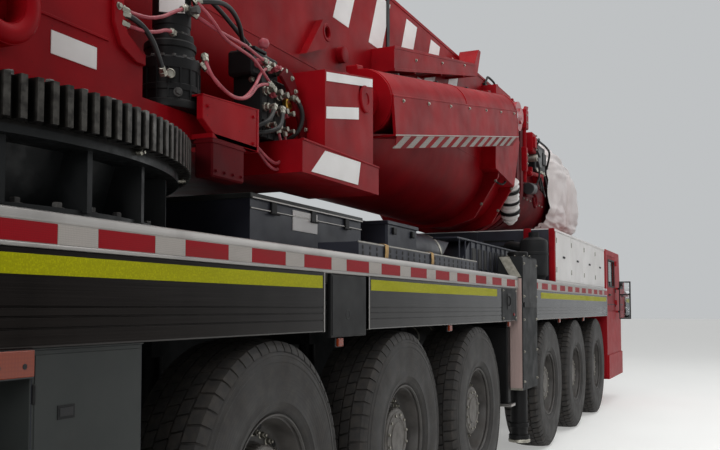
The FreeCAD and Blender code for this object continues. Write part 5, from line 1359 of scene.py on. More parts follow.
def platform_dress():
    work = Work()
    side = -PLATFORM_SIDE
    # blank plate, flange round the recess, stiffeners and bolts on the side
    work.block((0.08, 0.33), (side - 0.003, side + 0.001), (2.465, 2.555), 1, 0.0012)
    rim = [(0.405, 3.29), (0.475, 3.29), (0.475, 2.74), (0.50, 2.665), (0.60, 2.607), (0.62, 2.605),
            (0.62, 2.555), (0.56, 2.555), (0.46, 2.60), (0.415, 2.69)]
    work.slab(rim, "xz", (side - 0.018, side + 0.002), 0, 0.004)
    work.block((-1.49, 0.62), (side - 0.008, side + 0.002), (2.302, 2.318), 0, 0.003)
    work.block((-0.15, 0.40), (side - 0.006, side + 0.002), (2.60, 2.612), 0, 0.003)
    for k in range(5):
        work.bolt((0.44, side - 0.018, 2.76 + k * 0.12), RIGHT, 0.022, 2)
    for k in range(6):
        work.bolt((-1.36 + k * 0.2, side, 2.36), RIGHT, 0.02, 2)
    # rolled lip of the lashing eye
    lip = [(0.088, 0.0), (0.09, 0.014), (0.10, 0.022), (0.12, 0.026), (0.14, 0.022), (0.155, 0.012),
            (0.161, 0.0)]
    work.turned(lip, (-0.21, -1.152, 2.57), RIGHT, 56, 0, ends=False)
    work.mirror()
    # three pale plates on each foot box, and the box's own seams
    for sign in (-1, 1):
        face, sill = FOOT_SIDE, SILL_SIDE
        for outline, side, thick in (
                ([(2.065, 2.825), (2.735, 2.945), (2.735, 2.998), (2.065, 2.878)], face, 0.004),
                ([(2.065, 2.605), (2.52, 2.69), (2.52, 2.765), (2.065, 2.675)], face, 0.003),
                ([(1.80, 2.255), (1.97, 2.398), (2.46, 2.408), (2.42, 2.262)], sill, 0.003)):
            work.slab(outline, "xz", across(sign, side, side + thick), 1, 0.001)
        work.block((1.70, 2.752), across(sign, sill - 0.012, sill + 0.006), (2.412, 2.424), 0, 0.003)
        work.block((2.04, 2.752), across(sign, face - 0.006, face + 0.006), (2.425, 2.44), 0, 0.004)
        # cap over the foot pin
        work.turned([(0.088, 0.0), (0.088, 0.008), (0.08, 0.014), (0.04, 0.014), (0.036, 0.008), (0, 0.008)],
                    (2.62, sign * face, 2.84), (0, sign, 0), 40, 0)
    # bolts round the turning disc, cover plates, steps and hand grips on the platform's top
    for x, y in ((-2.2, 0.78), (-3.4, 0.78), (-2.2, -0.78), (-3.4, -0.78)):
        work.block((x - 0.22, x + 0.22), (y - 0.09, y + 0.09), (2.599, 2.607), 3, 0.002)
        for dx in (-0.19, 0.19):
            for dy in (-0.06, 0.06):
                work.bolt((x + dx, y + dy, 2.606), UP, 0.018, 2)
    grip = ((-0.16, 3.30), (-0.16, 3.38), (-0.12, 3.41), (0.12, 3.41), (0.16, 3.38), (0.16, 3.30))
    for sign in (-1, 1):
        for x in (-0.9, 0.0):
            work.pipe([(x + dx, sign * 0.955, z) for dx, z in grip], 0.012, 10, 2)
    work.made("platform_fittings", "upper", "crane_red", RED, WHITE, ZINC, RED_SHADED)


platform_dress()


# The winch drum's axis: x and z
DRUM_AXIS = (-3.3, 3.08)


def winch_dress():
    """Rope laid on the winch drum, its flanges, and lifting lugs and seams on the tail weight."""
    work = Work()
    x, z = DRUM_AXIS
    rope = [(0.295, -0.033), (0.312, -0.026), (0.325, 0.0), (0.312, 0.026), (0.295, 0.033)]
    for layer in range(17):
        work.turned(rope, (x, -0.535 + layer * 0.067, z), LEFT, 56, 0, ends=False)
    work.made("winch_rope_layers", "upper", "crane_red", ROPE, sharp=60)
    work = Work()
    lug = ((-4.35, 0.9, 3.24), (-4.35, 0.9, 3.31), (-4.32, 0.88, 3.33), (-4.32, 0.78, 3.33),
            (-4.35, 0.76, 3.31), (-4.35, 0.76, 3.24))
    for sign in (-1, 1):
        work.turned([(0.30, 0), (0.41, 0.002), (0.415, 0.008), (0.41, 0.014), (0.30, 0.016)],
                    (x, sign * 0.553, z), (0, -sign, 0), 56, 0, ends=False)
        work.turned([(0.14, 0), (0.14, 0.02), (0.12, 0.03), (0, 0.03)], (x, sign * 0.62, z), (0, sign, 0),
                36, 1)
        for _, dx, dz in spaced(10, 0.12):
            work.bolt((x + dx, sign * 0.648, z + dz), (0, sign, 0), 0.022, 2)
        work.pipe([(lug_x, sign * y, up) for lug_x, y, up in lug], 0.018, 12, 1)
        work.block((-4.606, -4.596), across(sign, 0.35, 1.2), (2.5, 3.15), 0, 0.003)
        for up in (2.54, 3.11):
            for y in (0.4, 0.78, 1.15):
                work.bolt((-4.606, sign * y, up), BACK, 0.03, 2)
        for k, finish in enumerate((3, 4, 3, 4, 3)):
            y = sign * (0.72 + k * 0.11)
            work.slab([(y - 0.045, 2.42), (y + 0.045, 2.42), (y + 0.075, 2.49), (y - 0.015, 2.49)], "yz",
                      (-4.604, -4.598), finish, 0.001)
    work.made("winch_and_tail_fittings", "upper", "crane_red", RED, BLACK, ZINC, TAPE_RED, TAPE_WHITE)


winch_dress()


# Boom: stripes, strap, seams, tray and head fittings

BOOM_SIDE = 0.70
TIP_SIDE = 0.534
# Top of everything that is solid
CEILING = CAD_BOX[1][2] - 0.012


def boom_dress():
    work = Work()
    side = -BOOM_SIDE
    # plain slanted bars in pale film
    for k in range(6):
        x = 2.62 + 0.66 * k
        work.slab([(x, 3.66), (x + 0.27, 3.66), (x + 0.47, 4.12), (x + 0.20, 4.12)], "xz",
                (side - 0.0022, side), 1, 0.0008)
    for x in (5.0, 5.55):
        work.slab([(x, 3.45), (x + 0.26, 3.45), (x + 0.34, 3.66), (x + 0.08, 3.66)], "xz",
                (side - 0.0022, side), 1, 0.0008)
    # steel strap, weld seams and edge bars
    work.block((4.315, 4.375), (side - 0.009, side + 0.001), (3.50, 4.195), 2, 0.002)
    work.block((-1.28, 8.52), (side - 0.003, side + 0.001), (3.196, 3.208), 0, 0.0012)
    work.block((-1.28, 8.52), (side - 0.006, side + 0.002), (4.165, 4.19), 0, 0.003)
    # collar bolts and wear pad covers
    for k in range(9):
        work.bolt((8.625, side - 0.025, 3.30 + k * 0.1), RIGHT, 0.024, 3)
    for z in (3.34, 3.86):
        work.block((8.565, 8.685), (side - 0.034, side - 0.024), (z, z + 0.14), 0, 0.004)
    # ring round the boss and the pivot's cap
    work.turned([(0.062, 0), (0.062, 0.012), (0.05, 0.016), (0, 0.016)], (3.39, -0.738, 3.40), RIGHT, 28, 0)
    work.turned([(0.13, 0), (0.13, 0.012), (0.12, 0.018), (0.03, 0.018), (0, 0.014)], (-0.8, -0.842, 3.45),
            RIGHT, 40, 3)
    # rolled lip of the tray and its brackets
    work.slab([(4.0, 3.60), (4.0, 3.625), (6.25, 4.066), (6.262, 4.045)], "xz", (-0.903, -0.893), 0, 0.002)
    work.slab([(4.0, 3.415), (4.0, 3.44), (6.352, 3.979), (6.36, 3.957)], "xz", (-0.904, -0.894), 0, 0.002)
    for x in (4.5, 5.2, 5.9):
        z = 3.42 + (x - 4.0) * 0.229
        work.block((x - 0.012, x + 0.012), (-0.895, -0.70), (z - 0.02, z + 0.004), 0, 0.003)
        work.bolt((x, -0.9, z + 0.10), RIGHT, 0.02, 3)
    # black bent grab bar above the yoke, and a small bracket under its foot
    grab = CEILING - 0.014
    work.pipe([(7.30, -0.72, 4.12), (7.38, -0.72, grab - 0.03), (7.44, -0.72, grab), (7.66, -0.72, grab),
               (7.72, -0.72, grab - 0.03), (7.74, -0.72, 4.10)], 0.013, 12, 2)
    for x in (7.30, 7.74):
        work.block((x - 0.04, x + 0.04), (-0.735, -0.698), (4.06, 4.13), 2, 0.004)
    # flap horn ahead of the collar
    horn = [(8.70, 3.97), (8.80, 3.95), (9.08, 4.13), (9.16, 4.245), (9.02, 4.225), (8.90, 4.13),
            (8.74, 4.07)]
    work.slab(horn, "xz", (-0.80, -0.772), 0, 0.004)
    work.block((8.56, 8.78), (-0.80, -0.722), (3.96, 4.06), 0, 0.005)
    # eye on the boom's side: rim and pin
    work.turned([(0.04, 0), (0.046, 0.006), (0.06, 0.006), (0.066, 0)], (3.075, -0.7545, 3.475), RIGHT, 28,
            0, ends=False)
    work.mirror()
    # covers along the boom's top
    for k in range(5):
        x = 0.2 + k * 1.5
        work.block((x, x + 0.9), (-0.22, 0.22), (4.199, 4.212), 0, 0.004)
        for dx in (0.05, 0.85):
            for y in (-0.18, 0.18):
                work.bolt((x + dx, y, 4.211), UP, 0.022, 3)
    for sign in (-1, 1):
        work.pipe([(-0.9, sign * 0.45, 4.2), (-0.7, sign * 0.45, 4.222), (3.0, sign * 0.45, 4.222),
                   (8.2, sign * 0.45, 4.222), (8.4, sign * 0.45, 4.2)], 0.016, 10, 2, steps=3)
    work.made("boom_stripes_and_fittings", "boom", "crane_red", RED, WHITE, BLACK, ZINC)


def yoke_dress():
    """Fittings on the frames and round the rod eyes: pads, unions, hoses and the pale banded duct."""
    work = Work()
    for sign in (-1, 1):
        for x in (7.34, 8.08):
            for z in (2.72, 2.98, 3.24, 3.50, 3.76, 4.0):
                y = sign * 0.83
                if abs(z - 2.72) < 0.01:
                    y = sign * 0.66
                work.bolt((x - 0.021, y, z), BACK, 0.026, 1)
        # pin cap and locking plate outside the lug
        work.turned([(0.12, 0), (0.12, 0.012), (0.11, 0.018), (0.06, 0.018), (0.05, 0.01), (0, 0.01)],
                    (7.5, sign * 0.88, 3.75), (0, sign, 0), 36, 0)
    # boxes and valves on the right side between the two frames
    work.block((7.66, 8.0), (-0.80, -0.70), (3.94, 4.10), 0, 0.01)
    work.block((7.70, 7.82), (-0.84, -0.79), (3.97, 4.06), 1, 0.006)
    work.block((7.42, 7.66), (-0.78, -0.70), (3.10, 3.34), 0, 0.01)
    work.block((7.78, 7.98), (-0.82, -0.70), (3.30, 3.62), 3, 0.012)
    for k in range(4):
        z = 3.36 + k * 0.07
        work.turned([(0.02, 0), (0.02, 0.016), (0.015, 0.018), (0.015, 0.036), (0.01, 0.038)],
                (7.88, -0.82, z), RIGHT, 8, 1 if k % 2 else 4)
    work.turned([(0.03, 0), (0.03, 0.05), (0.024, 0.06), (0, 0.06)], (7.60, -0.80, 4.03), RIGHT, 24, 1)
    # hook cheeks and a red stay on the base's front frame
    work.block((8.705, 8.86), (-0.87, -0.78), (3.86, 4.12), 5, 0.012)
    work.block((8.705, 8.80), (-0.87, -0.80), (3.30, 3.62), 5, 0.012)
    work.rod((8.76, -0.835, 3.16), (8.76, -0.835, 3.86), 0.024, 16, 5)
    for z in (3.40, 3.52, 3.94, 4.04):
        work.bolt((8.76, -0.87, z), RIGHT, 0.022, 1)
    # most yoke fittings take the red enamel darkened as painted shade
    work.made("yoke_fittings", "boom", "crane_red", RED_SHADED, ZINC, BLACK, MACHINE, SLEEVE, RED)
    lines = (
        ((7.84, -0.84, 3.97), (7.90, -0.865, 3.86), (7.94, -0.865, 3.74), (7.92, -0.85, 3.62),
         (7.88, -0.85, 3.57)),
        ((7.76, -0.84, 3.97), (7.74, -0.87, 3.84), (7.70, -0.87, 3.70), (7.76, -0.86, 3.55),
         (7.88, -0.85, 3.50)),
        ((7.88, -0.85, 3.43), (7.80, -0.87, 3.34), (7.66, -0.86, 3.24), (7.58, -0.80, 3.22)),
        ((7.88, -0.85, 3.36), (7.84, -0.87, 3.20), (7.76, -0.85, 3.04), (7.66, -0.80, 2.96),
         (7.56, -0.72, 3.06)),
        ((7.98, -0.80, 3.46), (8.02, -0.84, 3.60), (8.02, -0.84, 3.80), (7.98, -0.80, 3.98)),
    )
    hose_lines("yoke_hoses", "boom", HOSE, lines, 0.012)
    work = Work()
    start_at, way = Vector((8.22, -0.76, 3.10)), Vector((0.36, 0.08, -0.5))
    bands = []
    for k in range(40):
        t = k / 39
        swell = 0.115 + 0.012 * math.sin(k * 1.6) - 0.05 * max(0.0, t - 0.8) / 0.2
        bands.append((swell, t * 0.60))
    work.turned([(0.06, -0.02)] + bands + [(0.04, 0.62)], start_at, way, 36, 0)
    for t in (0.10, 0.25, 0.40):
        work.turned([(0.118, t), (0.130, t + 0.006), (0.130, t + 0.04), (0.118, t + 0.046)], start_at, way,
                36, 1, ends=False)
    work.block((8.09, 8.24), (-0.80, -0.70), (3.04, 3.12), 1, 0.006)
    work.made("pale_banded_duct", "boom", "crane_red", WHITE, BLACK)


def tip_fittings():
    """Black valve box, rods and hoses on the right side of the boom's tip, behind the sheet."""
    work = Work()
    work.block((10.25, 10.95), (-0.64, -TIP_SIDE), (3.55, 3.98), 0, 0.015)
    work.block((10.35, 10.6), (-0.67, -0.63), (3.62, 3.90), 1, 0.008)
    work.block((10.68, 10.9), (-0.67, -0.63), (3.70, 3.88), 0, 0.01)
    for k in range(4):
        work.turned([(0.024, 0), (0.024, 0.02), (0.018, 0.024), (0.018, 0.05), (0.012, 0.054)],
                    (10.32 + 0.16 * k, -0.64, 3.58), (0, -0.5, -1), 8, 2)
    work.pipe([(10.0, -0.56, 3.96), (10.12, -0.63, 4.02), (10.6, -0.65, 4.02), (11.1, -0.66, 3.99),
               (11.22, -0.65, 3.90), (11.24, -0.60, 3.70)], 0.016, 12, 0)
    for x, z in ((9.98, 3.95), (11.24, 3.68)):
        work.block((x - 0.04, x + 0.04), (-0.60, -TIP_SIDE), (z - 0.04, z + 0.04), 0, 0.006)
    for sign in (-1, 1):
        work.block((9.66, 11.28), across(sign, TIP_SIDE, 0.541), (3.16, 3.175), 3, 0.002)
        for k in range(8):
            work.bolt((9.75 + 0.2 * k, sign * 0.535, 3.10), (0, sign, 0), 0.022, 2)
    # knuckle block, stay bar, pump and snap hook in front of the telescopes' collars
    work.block((9.74, 9.98), (-0.72, -TIP_SIDE), (3.74, 4.02), 4, 0.012)
    work.block((9.79, 9.93), (-0.745, -0.71), (3.80, 3.96), 4, 0.008)
    work.rod((9.86, -0.56, 3.66), (9.86, -0.76, 3.66), 0.05, 24, 2)
    for z in (3.78, 3.98):
        work.bolt((9.86, -0.745, z), RIGHT, 0.024, 2)
    work.rod((9.76, -0.66, 3.44), (10.62, -0.66, 3.50), 0.028, 20, 4)
    for x in (9.84, 10.56):
        work.block((x - 0.03, x + 0.03), (-0.69, -TIP_SIDE), (3.40, 3.53), 4, 0.006)
    work.turned([(0, 0), (0.075, 0), (0.085, 0.01), (0.085, 0.22), (0.06, 0.25), (0.04, 0.25), (0.035, 0.31),
            (0, 0.31)], (9.80, -0.64, 3.22), (1, 0, 0.08), 28, 1)
    work.block((9.84, 9.98), (-0.60, -TIP_SIDE), (3.12, 3.30), 3, 0.006)
    work.pipe([(10.24, -0.60, 3.22), (10.27, -0.64, 3.14), (10.25, -0.65, 3.04), (10.17, -0.65, 2.99),
               (10.10, -0.65, 3.04), (10.12, -0.64, 3.12)], 0.022, 14, 3)
    work.made("tip_valve_box_and_rods", "head", "crane_red", BLACK, MACHINE, ZINC, RED_SHADED, RED)
    lines = (
        ((10.32, -0.66, 3.53), (10.34, -0.68, 3.40), (10.46, -0.68, 3.30), (10.62, -0.66, 3.32),
         (10.70, -0.60, 3.44)),
        ((10.48, -0.66, 3.53), (10.50, -0.69, 3.34), (10.66, -0.69, 3.20), (10.86, -0.66, 3.24),
         (10.94, -0.56, 3.36)),
        ((10.80, -0.66, 3.53), (10.86, -0.68, 3.42), (10.98, -0.66, 3.36), (11.10, -0.58, 3.40)),
        ((9.86, -0.75, 3.66), (9.94, -0.77, 3.56), (10.08, -0.74, 3.50), (10.16, -0.72, 3.40),
         (10.08, -0.68, 3.27)),
        ((9.92, -0.735, 3.80), (10.02, -0.76, 3.70), (10.14, -0.74, 3.72), (10.26, -0.66, 3.80)),
        ((9.92, -0.735, 3.92), (10.04, -0.75, 3.98), (10.16, -0.72, 3.96), (10.26, -0.66, 3.90)),
    )
    hose_lines("tip_hoses", "head", HOSE, lines, 0.014)


boom_dress()
yoke_dress()
tip_fittings()


# Luffing cylinders: bands, gland bolts and the striped guards

FOOT_PIN = (2.6, 2.87)
CYLINDER_PITCH = math.radians(10.18)


def cylinder_dress():
    work = Work()
    lie = Matrix.Translation((FOOT_PIN[0], 0, FOOT_PIN[1])) @ Matrix.Rotation(-CYLINDER_PITCH, 4, "Y")
    axis_y = -1.0
    for s, wide in ((0.56, 0.05), (2.35, 0.03), (4.16, 0.05)):
        ring = [(0.224, s), (0.230, s + 0.004), (0.230, s + wide - 0.004), (0.224, s + wide)]
        work.turned(ring, (0, axis_y, 0), AHEAD, 64, 0, lie, ends=False)
    gland = [(0.20, 4.21), (0.212, 4.215), (0.212, 4.262), (0.205, 4.27), (0.172, 4.272), (0.165, 4.345),
            (0.13, 4.352)]
    work.turned(gland, (0, axis_y, 0), AHEAD, 64, 0, lie, ends=False)
    for _, y, z in spaced(14, 0.188):
        work.bolt((4.27, axis_y + y, z), AHEAD, 0.02, 1, place=lie)
    # guard: rolled top flange, a white strip along its bottom edge as a painted highlight line, and the
    # slanted bars under its floor
    face = -1.233
    work.block((0.56, 4.20), (face - 0.003, face + 0.022), (0.014, 0.028), 0, 0.004, lie)
    work.block((0.56, 4.20), (face - 0.003, face + 0.002), (-0.2605, -0.250), 2, 0.001, lie)
    work.block((0.56, 0.575), (face - 0.002, face + 0.02), (-0.26, 0.02), 0, 0.002, lie)
    work.block((4.185, 4.20), (face - 0.002, face + 0.02), (-0.26, 0.02), 0, 0.002, lie)
    # lip folded down and in under the guard, with pale slanted bars on it
    top, bottom = Vector((0, face, -0.256)), Vector((0, face + 0.05, -0.345))
    out = Vector((0, -0.089, -0.05)).normalized()

    def on_lip(s, share, proud):
        return Vector((s, 0, 0)) + top.lerp(bottom, share) + out * proud

    def leaf(corners, thick, finish):
        under = [on_lip(s, share, -0.001) for s, share in corners]
        over = [on_lip(s, share, thick) for s, share in corners]
        work.put(under + over, [[0, 1, 2, 3], [7, 6, 5, 4], [0, 4, 5, 1], [1, 5, 6, 2], [2, 6, 7, 3],
                [3, 7, 4, 0]], finish, lie)

    leaf(((0.57, 0), (4.19, 0), (4.12, 1), (0.64, 1)), 0.004, 0)
    for k in range(13):
        s = 0.60 + 0.268 * k
        leaf(((s + 0.12, 0.04), (s + 0.26, 0.04), (s + 0.14, 0.96), (s, 0.96)), 0.0056, 2)
    for k in range(7):
        work.bolt((0.75 + 0.55 * k, face, -0.01), RIGHT, 0.02, 1, place=lie)
    # feed pipe along the barrel with its clamps, and the port blocks at both ends
    work.rod((0.60, -0.93, 0.242), (4.12, -0.93, 0.242), 0.012, 12, 1, place=lie)
    for s in (0.6, 4.06):
        work.block((s - 0.04, s + 0.07), (-0.975, -0.885), (0.19, 0.262), 0, 0.006, lie)
    for s in (1.4, 2.36, 3.3):
        work.block((s - 0.02, s + 0.02), (-0.965, -0.895), (0.205, 0.258), 3, 0.004, lie)
    work.mirror()
    work.made("luffing_barrel_fittings", "barrels", "crane_red", RED, ZINC, TAPE_WHITE, BLACK)


cylinder_dress()


# Outrigger posts and jacks

# Outer face of the posts, and the jacks' axes
POST_OUTER = 1.53
JACK_Y = 1.415


def post_dress():
    for place, x in (("front", FRONT_POST), ("rear", REAR_POST)):
        for side, sign in SIDES:
            work = Work()
            rear, ahead = x - POST_HALF, x + POST_HALF
            # brushed plate on the rear face, its bright lower edge and the leaning plate over it
            work.block((rear - 0.007, rear + 0.001), across(sign, 1.405, POST_OUTER - 0.004), (0.76, 1.79),
                    0, 0.002)
            work.block((rear - 0.012, rear + 0.001), across(sign, 1.40, POST_OUTER), (0.742, 0.762), 1,
                    0.002)
            lean = [(1.31 * sign, 1.995), (1.41 * sign, 1.995), (1.525 * sign, 1.80), (1.42 * sign, 1.80)]
            work.slab(lean if sign > 0 else lean[::-1], "yz", (rear - 0.009, rear + 0.001), 1, 0.002)
            # black cover sheets on the POST_OUTER side, seams and bolts
            work.block((rear + 0.01, ahead - 0.01), across(sign, POST_OUTER, POST_OUTER + 0.006),
                    (1.56, 1.985), 2, 0.003)
            work.block((rear + 0.01, ahead - 0.01), across(sign, POST_OUTER, POST_OUTER + 0.004),
                    (0.76, 1.52), 3, 0.003)
            work.block((rear + 0.05, ahead - 0.05), across(sign, POST_OUTER + 0.003, POST_OUTER + 0.012),
                    (1.515, 1.565), 2, 0.004)
            for z in (0.82, 1.10, 1.40, 1.62, 1.93):
                for dx in (0.05, 2 * POST_HALF - 0.05):
                    work.bolt((rear + dx, sign * (POST_OUTER + 0.004), z), (0, sign, 0), 0.02, 1)
            # jack head with its flange and hose stubs
            work.turned([(0.13, 0), (0.13, 0.01), (0.10, 0.014), (0.10, 0.05), (0.09, 0.058), (0, 0.058)],
                        (x, sign * JACK_Y, 2.0), UP, 40, 2)
            for _, dx, dy in spaced(8, 0.115):
                work.bolt((x + dx, sign * JACK_Y + dy, 2.01), UP, 0.014, 1, washer=False)
            work.made(f"post_cover_{place}_{side}", f"outrigger_{place}_{side}", "chassis_paint", PLATE,
                    ZINC, BLACK, CHASSIS)
            work = Work()
            work.turned([(0.09, 0.36), (0.094, 0.365), (0.094, 0.40), (0.09, 0.405)], (x, sign * JACK_Y, 0),
                    UP, 40, 0, ends=False)
            work.turned([(0.10, 0.2195), (0.104, 0.2215), (0.104, 0.245), (0.10, 0.25)],
                    (x, sign * JACK_Y, 0), UP, 40, 1, ends=False)
            work.made(f"jack_collar_{place}_{side}", f"jack_{place}_{side}", "rod_chrome", BLACK, ZINC)


post_dress()


def side_panels():
    """Small panels and steps beside the front posts: handle plate with a red button, box and pale step."""
    work = Work()
    rear = FRONT_POST - POST_HALF
    work.block((5.02, 5.53), (1.4995, 1.5035), (1.40, 1.685), 0, 0.002)
    work.block((5.18, 5.30), (1.503, 1.509), (1.50, 1.64), 1, 0.005)
    work.pipe([(5.22, 1.506, 1.53), (5.22, 1.522, 1.545), (5.22, 1.522, 1.60), (5.22, 1.506, 1.615)], 0.006,
            8, 1)
    work.turned([(0.014, 0), (0.014, 0.008), (0.009, 0.012), (0, 0.012)], (5.42, 1.503, 1.45), LEFT, 16, 2)
    for z in (1.42, 1.665):
        for x in (5.05, 5.50):
            work.bolt((x, 1.503, z), LEFT, 0.014, 3)
    # black box ahead of the rear wheels' arch and its step
    work.block((rear - 0.13, rear - 0.02), (1.10, 1.42), (0.62, 1.34), 4, 0.012)
    work.block((rear - 0.16, rear - 0.01), (1.10, 1.46), (0.60, 0.625), 5, 0.003)
    work.mirror()
    work.made("step_and_handle_panels", "carrier", "skirt_aluminium", CHASSIS, BLACK, RED_LENS, ZINC, BLACK,
            EDGE)


side_panels()


# Engine housing and the deck's front half

def housing_dress():
    work = Work()
    low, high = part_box("engine_housing")
    rear, front = reach("engine_housing")
    side, roof, base = high.y, high.z, low.z
    # dark rear wall with seams, red corner posts, pale side doors
    work.block((rear - 0.006, rear + 0.001), (-side + 0.05, side - 0.05), (base + 0.01, roof - 0.01), 1,
            0.002)
    for k in range(5):
        y = -1.1 + k * 0.55
        work.block((rear - 0.012, rear - 0.004), (y - 0.008, y + 0.008), (base + 0.02, roof - 0.02), 1,
                0.002)
    for y in (-0.82, -0.27, 0.28, 0.83):
        for k in range(7):
            z = base + 0.12 + k * 0.06
            work.block((rear - 0.012, rear - 0.004), (y - 0.18, y + 0.18), (z, z + 0.022), 3, 0.002)
    for sign in (-1, 1):
        work.block((rear - 0.010, rear + 0.055), across(sign, side - 0.06, side + 0.006),
                (base + 0.005, roof + 0.004), 2, 0.004)
        doors = 4
        step = (front - rear - 0.08) / doors
        for k in range(doors):
            x = rear + 0.07 + k * step
            work.block((x, x + step - 0.02), across(sign, side, side + 0.006), (base + 0.03, roof - 0.035),
                    0, 0.003)
            work.block((x + step / 2 - 0.06, x + step / 2 + 0.06), across(sign, side + 0.005, side + 0.014),
                       (base + 0.30, base + 0.325), 4, 0.004)
            for z in (base + 0.12, roof - 0.16):
                work.rod((x + 0.02, sign * (side + 0.008), z), (x + 0.02, sign * (side + 0.008), z + 0.06),
                        0.007, 10, 5)
        work.block((rear, front), across(sign, side, side + 0.009), (roof - 0.03, roof - 0.004), 0, 0.003)
    # roof: lids with louvres, walkway strips and grips
    for k in range(3):
        x = rear + 0.2 + k * 1.2
        for y in (-0.95, 0.05):
            work.block((x, x + 1.0), (y, y + 0.9), (roof, roof + 0.008), 0, 0.003)
            for row in range(9):
                z = roof + 0.007
                work.block((x + 0.12 + row * 0.085, x + 0.17 + row * 0.085), (y + 0.12, y + 0.78),
                        (z, z + 0.012), 4, 0.003)
    work.block((rear + 0.05, front - 0.05), (-side + 0.03, -side + 0.32), (roof, roof + 0.006), 6, 0.002)
    work.block((rear + 0.05, front - 0.05), (side - 0.32, side - 0.03), (roof, roof + 0.006), 6, 0.002)
    # air cleaner standing behind the housing, and the red post beside it
    x, y = rear - 0.23, -side + 0.18
    cleaner = [(0.0, base), (0.12, base), (0.125, base + 0.05), (0.15, base + 0.07), (0.155, base + 0.08),
               (0.155, base + 0.30), (0.16, base + 0.305), (0.16, base + 0.33), (0.155, base + 0.335),
               (0.155, base + 0.44), (0.145, base + 0.47), (0.09, base + 0.50), (0.06, base + 0.505),
               (0.06, base + 0.56), (0.0, base + 0.56)]
    work.turned(cleaner, (x, y, 0), UP, 56, 3)
    work.pipe([(x, y + 0.14, base + 0.4), (x + 0.02, y + 0.25, base + 0.42),
            (x + 0.1, y + 0.32, base + 0.42), (rear + 0.01, y + 0.34, base + 0.42)], 0.05, 20, 3)
    work.block((rear - 0.11, rear - 0.04), (y + 0.07, y + 0.15), (base, roof), 2, 0.008)
    work.made("engine_housing_doors", "carrier", "box_paint", WHITE, DARK, RED, CHASSIS, BLACK, ZINC,
            CHEQUER)


housing_dress()


def hood_dress():
    """Dark hood, cable chest and the blank plate on the deck's right side, and rails round the tanks."""
    work = Work()
    work.block((2.03, 2.34), (-1.056, -1.049), (1.96, 2.08), 1, 0.002)
    work.block((1.56, 3.0), (-1.068, -1.060), (2.094, 2.104), 4, 0.002)
    work.block((1.56, 3.0), (-1.058, -1.048), (2.040, 2.048), 4, 0.002)
    work.block((3.38, 4.0), (-1.09, -0.86), (1.80, 2.14), 0, 0.015)
    work.block((3.37, 4.01), (-1.10, -0.85), (2.115, 2.145), 0, 0.005)
    for x in (3.5, 3.88):
        work.block((x - 0.03, x + 0.03), (-1.108, -1.09), (2.05, 2.10), 2, 0.004)
    for k in range(14):
        x = 4.56 + k * 0.17
        work.block((x, x + 0.012), (-1.262, -1.25), (1.81, 2.09), 0, 0.003)
    work.block((4.49, 6.91), (-1.266, -1.05), (2.09, 2.106), 0, 0.005)
    for sign in (-1, 1):
        for x in (3.1, 5.0, 6.9):
            work.bolt((x, sign * 1.40, 1.80), UP, 0.024, 3)
        work.pipe([(7.05, sign * 0.62, 2.05), (7.2, sign * 0.62, 2.06), (7.3, sign * 0.55, 2.1),
                   (7.49, sign * 0.5, 2.1)], 0.02, 12, 2)
    work.made("hood_ribs_and_chest", "carrier", "box_paint", DARK, WHITE, BLACK, ZINC, EDGE)


hood_dress()


# Driver's cab

